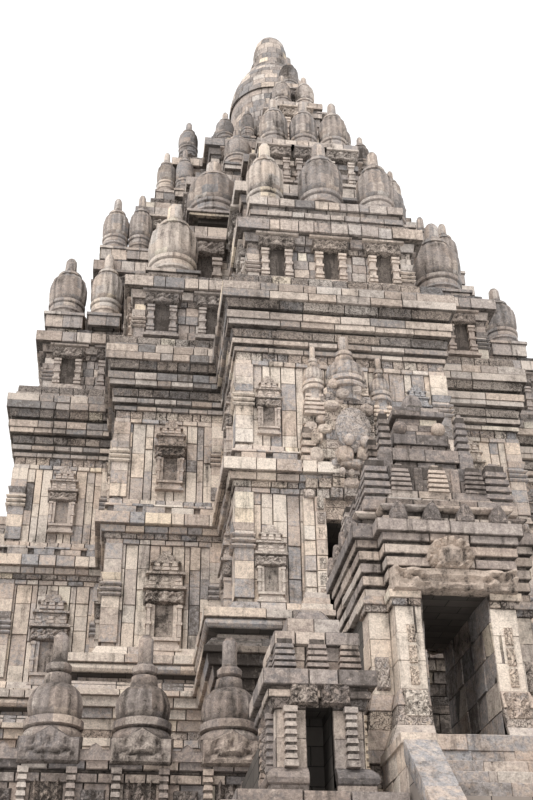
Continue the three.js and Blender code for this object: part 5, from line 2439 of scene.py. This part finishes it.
@dataclass
class PorchRoofs(Part):
    """The lower roofs over the porches on the right, back and left."""

    inner: float = 9.27

    def build(self) -> None:
        """Lays the three roofs."""
        work = Masonry("porch_roof_facing", 34)
        middle, deep = (self.inner + PORCH_OUT) / 2, (PORCH_OUT - self.inner) / 2
        for side in (1, 2, 3):
            work.side = side
            faces = block_faces(0, middle, PORCH_HALF, deep)
            del faces[2]
            for face in faces[1:]:
                face.turns = (1, 0) if face.right[1] > 0 else (0, 1)
            self.lay(work, faces, [
                Band(15.5, 15.68, 0.09, 0.05, Cut.CARVED, 0.5, 0.7),
                *rows(15.68, 16.3, 0.32, length=0.5, pale=0.7),
                Band(16.3, 16.5, 0.06, 0.08, Cut.CARVED, 0.5, 0.7),
                Band(16.5, 16.8, 0.1, 0.2, length=0.6, pale=0.72),
                flat(16.8, 17.25, 0.4, 0.8, 0.72),
                Band(17.25, 17.6, 0.1, 0.1, Cut.CARVED, 0.5, 0.65),
            ])
            low = block_faces(0, middle, 2.57, deep - 0.3)
            self.lay(work, [low[0], low[1], low[3]], [flat(17.6, 17.9, 0), flat(17.9, 18.2, 0.04)])
            for x in (-2.1, 0, 2.1):
                stand_ratna(self, work, self.stones.roof_ratna, x, 11.55, 1.1, 18.2, 18.5, 20.3)
            front = faces[0]
            work.on_face(self.stones.great_kala, front, PORCH_HALF, 0.25, 13.6, (2.6, 1.6, 1.7),
                         0.6)
            for way in (-1, 1):
                for row in rows(10.9, 13.6, 0.45):
                    tone = work.tone(0.6, 0.1)
                    work.on_face(self.stones.vine, front, PORCH_HALF + way * 0.88, 0.06, row.foot,
                                 (0.4, 0.6, 0.44), tone)
        work.build(self.finishes.wall, "pale_andesite")


def stand_ratna(part: Part, work: Masonry, shape: Pattern, x: float, out: float, width: float,
                foot: float, bulb: float, tip: float, side: int = 0, shift: float = 0.0) -> None:
    """Stands a ratna on its square pedestal.

    Args:
        part: The sub-assembly that it belongs to.
        work: The piece that it is added to.
        shape: The ratna pattern.
        x: Place along the side.
        out: Place out of the middle.
        width: Width of its bulb.
        foot: Foot of the pedestal.
        bulb: Foot of the ratna.
        tip: Height of its tip.
        side: The side that it stands on.
        shift: Shift along the world's x.
    """
    px, py = side_point(side, x, out)
    px += shift
    round_foot = min(bulb - foot, 0.38)
    if bulb - foot > 0.5:
        top = bulb - round_foot
        for half, low, high in ((0.5 * width, foot, top - 0.12), (0.55 * width, top - 0.12, top)):
            part.lay(work, block_faces(px, -py, half, half),
                     [flat(low, high, 0, 0.5 * width + 0.1, 0.55)])
    tone = work.plain(0.52, 0.13)
    work.at(part.stones.foot, (px, py, bulb - round_foot), (0.98 * width, 0.98 * width, round_foot),
            tone=tone)
    tall = (tip - bulb) / ROOF_RATNA_TALL
    work.at(shape, (px, py, bulb), (width, width, tall), float(work.random.uniform(0, 6)), tone)


@dataclass
class Cornice(Part):
    """The main cornice over the walls."""

    def build(self) -> None:
        """Lays the cornice: clean front right, half clean on the porch, sooty elsewhere."""
        work = Masonry("main_cornice_facing", 35)
        faces = UPPER_TOWER.faces()
        clean = [face for face in faces if face.out[1] < -0.5 and face.start[0] > 2.8]
        porch = of_length(faces, 2 * PORCH_HALF)
        others = [face for face in faces if face.out[1] > -0.5 or face.start[0] < -2.9]
        # The grooves get painted shade and soiling: none on the clean front right, half on the
        # porch, full elsewhere
        for group, length, pale, grime_and_shade in (
                (clean, 1.1, 0.84, 0.0), (porch, 0.9, 0.58, 0.5), (others, 0.5, 0.47, GROOVE_SHADE_AND_SOIL)):
            self.lay(work, group, [
                flat(18.6, 18.74, 0.1, length, pale), groove(18.74, 18.82, 0.01, length, grime_and_shade),
                flat(18.82, 18.98, 0.17, length, pale), groove(18.98, 19.06, 0.06, length, grime_and_shade),
                Band(19.06, 19.28, 0.14, 0.2, Cut.CARVED, length, pale),
                groove(19.28, 19.38, 0.1, length, grime_and_shade),
                flat(19.38, 19.56, 0.3, length, pale),
                Band(19.56, 19.8, 0.34, 0.35, length=length, pale=pale, lost=0.05),
                groove(19.8, 19.95, 0.16, 0.6, grime_and_shade),
                Band(19.95, 20.2, 0.3, 0.38, Cut.CARVED, length, pale),
                flat(20.2, 20.46, 0.47, length, pale, lost=0.05),
            ])
        self.lay(work, faces, [
            flat(20.46, 20.72, 0.47, 0.55, 0.64, lost=0.04), flat(20.72, 20.92, 0.25, 0.5),
            Band(20.92, 21.2, 0.22, 0.2, Cut.CARVED, 0.5, 0.55),
        ])
        work.build(self.finishes.cornice, "dark_andesite")


@dataclass(frozen=True)
class Tier:
    """Sizes of one roof tier.

    grows says how far the tier's foot, neck, lip and frieze stand out. A block is half its
    width, its two places out of the middle, its foot and its top. A ratna is its place along
    and out of a side, its width, and the heights of its pedestal, its bulb and its tip.
    """

    plan: Cross
    foot: float
    wall_top: float
    lip: float
    top: float
    grows: tuple[float, float, float, float]
    blocks: tuple[tuple[float, ...], ...]
    front: tuple[tuple[float, ...], ...]
    flank: tuple[tuple[float, ...], ...]
    others: tuple[tuple[float, ...], ...]
    shift: float


def pair(along: float, *rest: float) -> tuple[tuple[float, ...], tuple[float, ...]]:
    """Lists two ratnas that mirror each other across the middle of a side."""
    return (-along, *rest), (along, *rest)


TIERS = (
    Tier(Cross(5.75, 8.75, 2.45, (11.9, 0, 0, 0), 5.35), 21.2, 23.15, 23.85, 24.2,
         (0.25, 0.15, 0.42, 0.1),
         blocks=((2.35, 9.75, 11.8, 24.2, 25.1),),
         front=(*pair(4.63, 8.0, 1.65, 24.2, 24.8, 28.0), *pair(1.83, 11.0, 1.2, 25.1, 25.5, 28.3),
                (0, 11.0, 1.45, 25.1, 25.5, 28.5)),
         flank=((-6.7, 5.25, 1.1, 24.2, 25.1, 27.8), (6.5, 5.25, 1.1, 24.2, 25.1, 27.8)),
         others=(*pair(4.9, 8.1, 1.3, 24.2, 25.2, 27.75), *pair(2.4, 8.0, 1.5, 24.2, 24.8, 27.8)),
         shift=-0.2),
    Tier(Cross(4.65, 6.9, 2.1, (9.4, 0, 0, 0), 0, -0.2), 24.2, 27.0, 27.75, 28.1,
         (0.2, 0.15, 0.4, 0.05),
         blocks=((1.75, 7.3, 9.1, 28.1, 30.5),),
         front=(*pair(3.2, 6.6, 1.85, 28.1, 28.7, 31.6), *pair(1.12, 8.4, 1.05, 30.5, 30.9, 33.4),
                (0, 8.4, 1.05, 30.5, 30.9, 33.4)),
         flank=pair(5.65, 4.35, 0.9, 28.1, 29.0, 31.7),
         others=(*pair(4.2, 6.6, 1.0, 28.1, 29.1, 31.55), *pair(1.7, 6.5, 1.4, 28.1, 28.7, 31.2)),
         shift=-0.2),
    Tier(Cross(3.75, 5.65, 1.7, (7.1, 0, 0, 0), 0, -0.1), 28.1, 30.7, 31.4, 32.4,
         (0.15, 0.12, 0.36, 0.0),
         blocks=((0.98, 4.65, 6.95, 32.4, 34.9), (0.55, 4.65, 5.95, 34.9, 37.1)),
         front=(*pair(0.46, 6.45, 0.8, 34.9, 35.2, 37.0), *pair(2.15, 5.05, 1.1, 32.4, 33.1, 35.1),
                (0, 5.4, 0.85, 37.1, 37.4, 39.4)),
         flank=pair(4.1, 3.4, 0.75, 32.4, 33.2, 35.4),
         others=(*pair(3.1, 4.85, 0.8, 32.4, 33.3, 35.4), *pair(1.1, 4.9, 1.0, 32.4, 33.0, 35.1)),
         shift=-0.1),
    Tier(Cross(2.9, 4.2, shift=-0.2), 32.4, 34.4, 35.1, 35.5, (0.1, 0.12, 0.35, 0.05),
         blocks=((0.55, 2.98, 4.3, 35.5, 37.1),), front=pair(2.55, 3.8, 0.8, 35.5, 35.7, 37.4),
         flank=(),
         others=(*pair(2.55, 3.85, 0.85, 35.5, 36.0, 37.9), (0, 3.7, 1.0, 35.5, 36.0, 38.3)),
         shift=-0.2),
)


@dataclass
class Roof(Part):
    """The four roof tiers and their ratnas."""

    def build(self) -> None:
        """Lays each tier as one piece, and its ratnas as another."""
        for number, tier in enumerate(TIERS, 1):
            work = Masonry(f"roof_tier_{number}_facing", 40 + number)
            self.walls(work, tier)
            self.raised(work, tier)
            work.build(self.finishes.roof, "pale_andesite")
            ratnas = Masonry(f"roof_tier_{number}_ratnas", 50 + number)
            shape = self.stones.roof_ratna if number < 3 else self.stones.small_ratna
            for side in range(4):
                shift = tier.shift if side else 0.0
                for entry in tier.others if side else tier.front:
                    stand_ratna(self, ratnas, shape, *entry, side=side, shift=shift)
                for entry in tier.flank if side % 2 == 0 else ():
                    stand_ratna(self, ratnas, shape, *entry, side=side, shift=tier.shift)
            ratnas.build(self.finishes.roof, "pale_andesite", smooth=35)

    def walls(self, work: Masonry, tier: Tier) -> None:
        """Lays the wall, cornice and niches of one tier.

        Args:
            work: The piece that it is added to.
            tier: Sizes of the tier.
        """
        faces = tier.plan.faces()
        foot_grow, neck, lip_grow, frieze = tier.grows
        foot, wall_top, lip, top = tier.foot, tier.wall_top, tier.lip, tier.top
        sill, head = foot + 0.45, wall_top - 0.2
        self.lay(work, faces, [
            Band(foot, foot + 0.3, foot_grow, foot_grow, Cut.CARVED, 0.5, 0.55),
            Band(foot + 0.3, sill, 0.08, 0.02, Cut.ROLL, 0.9),
            *rows(sill, head, 0.3, 0, 0.34, lost=0.16),
            Band(head, wall_top, 0.04, 0.06, Cut.CARVED, 0.4),
            Band(wall_top, wall_top + 0.3, neck, neck + 0.05, length=0.45),
            flat(wall_top + 0.3, lip, lip_grow, 0.5, 0.58, lost=0.04),
        ])
        if top - lip > 0.6:
            self.lay(work, faces,
                     [*rows(lip, top - 0.4, 0.3, 0, 0.5),
                      Band(top - 0.4, top, -0.2, -0.2, Cut.CARVED, 0.5)])
        else:
            self.lay(work, faces, [Band(lip, top, frieze, frieze, Cut.CARVED, 0.5)])
        self.pilasters(work, faces, sill, head, 0.3, (foot + 0.42 * (wall_top - foot),), 0.06)
        size = (wall_top + 0.28 - foot - 0.45) / 1.76
        self.niches(work, self.stones.bay, faces, sill, size, 1.35 * size, 0.02)

    def raised(self, work: Masonry, tier: Tier) -> None:
        """Lays the raised blocks in front of one tier, with niches in the tall ones.

        Args:
            work: The piece that it is added to.
            tier: Sizes of the tier.
        """
        for half, near, far, low, high in tier.blocks:
            sides = block_faces(0, (near + far) / 2, half, (far - near) / 2)
            # Every other course stands back and is darkened as painted shade
            steps = [replace(row, low=0.07 * (i % 2), high=0.07 * (i % 2),
                             grime_and_shade=0.55 * (i % 2 == 0))
                     for i, row in enumerate(rows(low, high - 0.3, 0.24, length=0.6))]
            self.lay(work, sides, [*steps, flat(high - 0.3, high, 0.1, 0.45, 0.6)])
            if high - low > 1.2:
                size = (high - low - 0.5) / 1.9
                self.niches(work, self.stones.bay, sides, low + 0.2, size, 1.1 * size, 0.02)


@dataclass
class Crown(Part):
    """The crown's stepped drum and its great bell."""

    bell: tuple = ((1.97, 38.5), (1.97, 40.5), (1.96, 41.2), (1.88, 41.9), (1.72, 42.7),
                   (1.46, 43.4), (1.17, 43.9), (0.96, 44.3), (0.9, 44.7))
    knob: tuple = ((0.93, 44.4), (0.87, 44.8), (0.86, 45.2), (0.85, 45.6), (0.81, 46.0),
                   (0.74, 46.35), (0.58, 46.65), (0.4, 46.86), (0.2, 46.97))
    courses: int = 17

    def build(self) -> None:
        """Lays the drum, the bell's courses and the knob."""
        work = Masonry("crown_facing", 61)
        self.lay(work, Cross(1.75, 2.6).faces(), [
            *rows(35.5, 36.4, 0.3, 0.1, 0.4), flat(36.4, 36.75, 0.35, 0.45, 0.6),
            *rows(36.75, 37.9, 0.38, -0.6, 0.4), flat(37.9, 38.2, -0.35, 0.4),
            Band(38.2, 38.5, -0.42, -0.42, Cut.CARVED, 0.4),
        ])
        for side in range(4):
            for x in (-1.45, 1.45):
                stand_ratna(self, work, self.stones.small_ratna, x, 2.65, 0.62, 36.75, 37.4, 39.2,
                            side=side)
        levels = np.linspace(self.bell[0][1], self.bell[-1][1], self.courses + 1)
        radii = np.interp(levels, [z for _, z in self.bell], [r for r, _ in self.bell])
        for i, (low, high) in enumerate(zip(levels[:-1], levels[1:])):
            proud = 0.1 if i < 2 or low > 41.3 else 0.0
            count = 20 if radii[i] > 1.2 else 14
            self.ring(work, (low, high), (radii[i] + proud, radii[i + 1] + proud), count, pale=0.42)
        for (inner, low), (outer, high) in zip(self.knob, self.knob[1:]):
            self.ring(work, (low, high), (inner, outer), 12, pale=0.5)
        work.at(self.stones.bulb, (0, 0, 46.85), (0.5, 0.5, 0.15), tone=0.5)
        work.on_face(self.stones.niche, front_face(-1.0, 1.97, 2.0), 1.0, 0.0, 38.95,
                     (0.62, 0.8, 0.5), tone=0.5)
        work.build(self.finishes.roof, "pale_andesite", smooth=30)

    def ring(self, work: Masonry, heights: Sequence[float], radii: Sequence[float], count: int,
             pale: float) -> None:
        """Lays one round course of wedge-shaped stones.

        Args:
            work: The piece that it is added to.
            heights: Foot and top of the course.
            radii: Radius at its foot and at its top.
            count: Number of stones.
            pale: Mean tone.
        """
        shape = self.stones.wedge
        x, y, z = shape.points.T
        wide = 2 * math.pi / count
        turn = work.random.uniform(0, wide)
        tall = heights[1] - heights[0] + 2 * LAP
        level = sliced(z, tall, EDGE)
        for i in range(count):
            step = work.random.uniform(-0.01, 0.01)
            radius = radii[0] + (radii[1] - radii[0]) * level / tall + step
            out = np.where(y < -0.95, radius - 0.3, radius + np.where(y < 0, y * EDGE * 10, 0))
            angle = turn + i * wide + sliced(x, wide, EDGE / radii[0])
            points = np.column_stack([out * np.cos(angle), out * np.sin(angle),
                                      level + heights[0] - LAP])
            work.put(points, shape, work.tone(pale, 0.2))


@dataclass
class Portal(Part):
    """The carved arch round the front doorway, with its kala, turrets and finials.

    A boss is its place from the middle, its foot, width, height and how far it stands out. An
    orb, an eye or a tusk of the kala, is its place, its foot and its width. A finial or turret
    is its place, foot, width and height.
    """

    half: float = 1.6
    course: float = 0.27
    bosses: tuple = (
        (-0.14, 15.0, 0.46, 0.5, 0.58), (0.33, 15.05, 0.4, 0.46, 0.58),
        (0.08, 14.88, 0.8, 0.26, 0.52), (0.0, 14.35, 0.44, 0.3, 0.42),
        (-0.62, 15.9, 0.42, 0.3, 0.42), (-0.42, 16.6, 0.44, 0.3, 0.5),
        (-0.85, 15.05, 0.4, 0.5, 0.36), (-0.82, 15.6, 0.36, 0.5, 0.34),
        (0.5, 16.5, 0.4, 0.34, 0.5), (-0.1, 16.95, 0.4, 0.34, 0.5),
        (0.25, 17.1, 0.36, 0.36, 0.48), (-0.35, 17.3, 0.3, 0.3, 0.46),
    )
    orbs: tuple = ((-0.06, 15.6, 0.27), (0.36, 15.56, 0.27), (-0.26, 14.74, 0.17),
                   (-0.02, 14.7, 0.17))
    finials: tuple = ((0.06, 16.98, 1.02, 0.9, 12.74), (-0.82, 17.05, 0.54, 0.72, 12.76),
                      (1.0, 16.8, 0.54, 0.72, 12.76))
    turrets: tuple = ((-0.84, 16.55, 0.6, 0.85), (1.0, 16.3, 0.6, 0.85), (-1.05, 14.9, 0.42, 1.4),
                      (1.2, 14.9, 0.42, 1.4))

    def build(self) -> None:
        """Carves the portal."""
        work = Masonry("portal_carvings", 71)
        face = front_face(-self.half, PORCH_OUT, 2 * self.half)
        for way in (-1, 1):
            self.jamb(work, face, way)
        self.arch(work, face)
        self.kala(work, face)
        for x, foot, wide, tall, out in self.finials:
            work.at(self.stones.rail_ratna, (x, -out, foot), (wide, wide, tall),
                    tone=work.plain(0.5, 0.08))
        for x, foot, wide, tall in self.turrets:
            tone = work.plain(0.55, 0.1)
            work.on_face(self.stones.turret, face, self.half + x, 0.14, foot, (wide, 0.5, tall),
                         tone)
        work.build(self.finishes.wall, "pale_andesite", smooth=35)

    def jamb(self, work: Masonry, face: Face, way: int) -> None:
        """Lays the stones, the vine and the foot's plates on one side of the doorway.

        Args:
            work: The piece that it is added to.
            face: The face that carries it.
            way: 1 for the right side and -1 for the left.
        """
        inner, outer = sorted((self.half + way * 0.64, self.half + way * 1.22))
        middle = (inner + outer) / 2
        for row in rows(10.95, 14.2, 0.4):
            for start, end, out in ((inner, middle, 0.16), (middle, outer, 0.2)):
                step = float(work.random.uniform(-0.03, 0.04))
                work.stone(self.stones.dressed, face, (start, end), (row.foot, row.top),
                           (out + step, out + step), tone=work.plain(0.66, 0.16))
            tone = work.plain(0.68, 0.1)
            work.on_face(self.stones.vine, face, self.half + way * 0.78, 0.21, row.foot + 0.02,
                         (0.2, 0.6, 0.36), tone)
        for step in range(4):
            half, foot = 0.42 - 0.05 * step, 10.92 + 0.16 * step
            tone = work.plain(0.6, 0.1)
            work.on_face(self.stones.slab, face, self.half + way, 0.3 - 0.05 * step, foot,
                         (2 * half, 0.2, 0.15), tone)

    def arch(self, work: Masonry, face: Face) -> None:
        """Lays the scrolled blocks over the doorway, which stand out most in the middle.

        Args:
            work: The piece that it is added to.
            face: The face that carries it.
        """
        rng, middle = work.random, self.half
        for row in rows(13.6, 14.3, 0.35):
            self.scroll(work, face, (middle - 0.7, middle + 0.7), row, (0.1, 0.1), 0.55, EDGE, DEEP)
        for level in np.arange(14.15, 17.2, self.course):
            half = float(np.interp(level, (14.1, 16.2, 17.2), (1.2, 1.14, 0.95)))
            joints = np.linspace(-half, half, round(2 * half / 0.34) + 1)
            joints = middle + joints + rng.uniform(-0.05, 0.05)
            for a, b in zip(joints[:-1], joints[1:]):
                share = abs((a + b) / 2 - middle) / half
                out = 0.12 + 0.2 * (1 - share ** 2) + rng.uniform(-0.07, 0.09)
                block = Band(level, level + self.course, out, out + 0.03)
                self.scroll(work, face, (a, b), block, (out, out + 0.03), work.plain(0.6, 0.13))
                if rng.random() < 0.2:
                    size = rng.uniform(0.26, 0.36)
                    work.on_face(self.stones.boss, face, (a + b) / 2, out + 0.02, level - 0.02,
                                 (size, 0.5, size), work.plain(0.55, 0.1))

    def kala(self, work: Masonry, face: Face) -> None:
        """Lays the great kala: scrolled blocks, its shield, lumps, eyes and tusks.

        Args:
            work: The piece that it is added to.
            face: The face that carries it.
        """
        middle, seam = self.half, self.half + 0.03
        for row in rows(15.2, 17.7, 0.28):
            half = float(np.interp(row.foot, (15.2, 16.6, 17.7), (0.66, 0.66, 0.5)))
            self.scroll(work, face, (middle + 0.05 - half, seam), row, (0.42, 0.45),
                        work.plain(0.6, 0.13))
            self.scroll(work, face, (seam, middle + 0.05 + half), row, (0.44, 0.41),
                        work.plain(0.6, 0.13))
        work.on_face(self.stones.shield, face, middle + 0.1, 0.52, 15.3, (0.92, 0.7, 1.36),
                     tone=0.44, grime_and_shade=0.12)
        for x, z, wide, tall, out in self.bosses:
            work.on_face(self.stones.boss, face, middle + x, out, z, (wide, 0.6, tall),
                         work.plain(0.52, 0.1))
        for x, z, wide in self.orbs:
            out = 0.72 if z > 15 else 0.6
            work.on_face(self.stones.orb, face, middle + x, out, z, (wide, wide, wide * 1.2), 0.5)

    def scroll(self, work: Masonry, face: Face, span: Sequence[float], row: Band,
               grows: Sequence[float], tone: float, edge: float = 0.02, deep: float = 0.3) -> None:
        """Lays one scrolled block."""
        work.stone(self.stones.scrolled, face, span, (row.foot, row.top), grows, tone=tone,
                   edge=edge, deep=deep)


# The studio


# The camera fitted to the photo: its place, its turns about z, x and its own axis, and its lens
CAMERA_PLACE = (-0.532, -3.696, 0.16)
CAMERA_TURNS = (-7.57, 90 + 32.32, -0.78)
CAMERA_LENS = 48.87
SENSOR = 36
SUN_TURNS = (42, 0, -38)
SUN_STRENGTH = 2.1
SUN_ANGLE = 25
SKY_STRENGTH = 1.2


def stage_floor() -> None:
    """Lays the pale studio floor."""
    bpy.ops.mesh.primitive_plane_add(size=60)
    floor = bpy.context.object
    floor.name = "studio_floor"
    paper = bpy.data.materials.new("studio_paper")
    paper.use_nodes = True
    shader = paper.node_tree.nodes["Principled BSDF"]
    shader.inputs["Base Color"].default_value = (0.82, 0.82, 0.81, 1)
    shader.inputs["Roughness"].default_value = 0.95
    floor.data.materials.append(paper)


def light() -> None:
    """Sets the soft white sky and a broad sun from the left."""
    world = bpy.data.worlds.new("studio_sky")
    bpy.context.scene.world = world
    world.use_nodes = True
    sky = world.node_tree.nodes["Background"].inputs
    sky["Color"].default_value = (1.0, 1.0, 1.0, 1)
    sky["Strength"].default_value = SKY_STRENGTH
    bpy.ops.object.light_add(type="SUN", rotation=[math.radians(turn) for turn in SUN_TURNS])
    sun = bpy.context.object.data
    sun.energy = SUN_STRENGTH
    sun.angle = math.radians(SUN_ANGLE)
    sun.color = (1.0, 0.97, 0.93)


def set_camera() -> None:
    """Sets the camera of the photo."""
    lens = bpy.data.cameras.new("photo_camera")
    camera = bpy.data.objects.new("photo_camera", lens)
    bpy.context.scene.collection.objects.link(camera)
    lens.sensor_fit = "AUTO"
    lens.sensor_width = SENSOR
    lens.lens = CAMERA_LENS
    lens.clip_start = 0.05
    lens.clip_end = 200
    about, up, roll = (Matrix.Rotation(math.radians(turn), 3, axis)
                       for turn, axis in zip(CAMERA_TURNS, "ZXZ"))
    camera.rotation_euler = (about @ up @ roll).to_euler()
    camera.location = CAMERA_PLACE
    bpy.context.scene.camera = camera
    bpy.context.scene.view_settings.view_transform = "Standard"


def dress_solids(finishes: Finishes) -> None:
    """Gives the frame's solids their masonry: pale where open to the sky, painted shade elsewhere.

    Args:
        finishes: The materials.
    """
    for node in bpy.context.scene.objects:
        if node.type == "MESH":
            open_air = node.name.startswith("terrace") or "outer_stair" in node.name
            for place in node.material_slots:
                place.material = finishes.paving if open_air else finishes.core


def main() -> None:
    """Builds the looks of the temple."""
    logging.basicConfig(level=logging.INFO, format="%(message)s")
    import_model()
    finishes = Finishes.mixed()
    stones = Stones.modelled()
    dress_solids(finishes)
    for part in (Terrace, Parapets, Stairs, Gates, Shrines, Foot, Body, PorchRoofs, Cornice, Roof,
                 Crown, Portal):
        part(stones, finishes).build()
    stage_floor()
    light()
    set_camera()


if __name__ == "__main__":
    main()
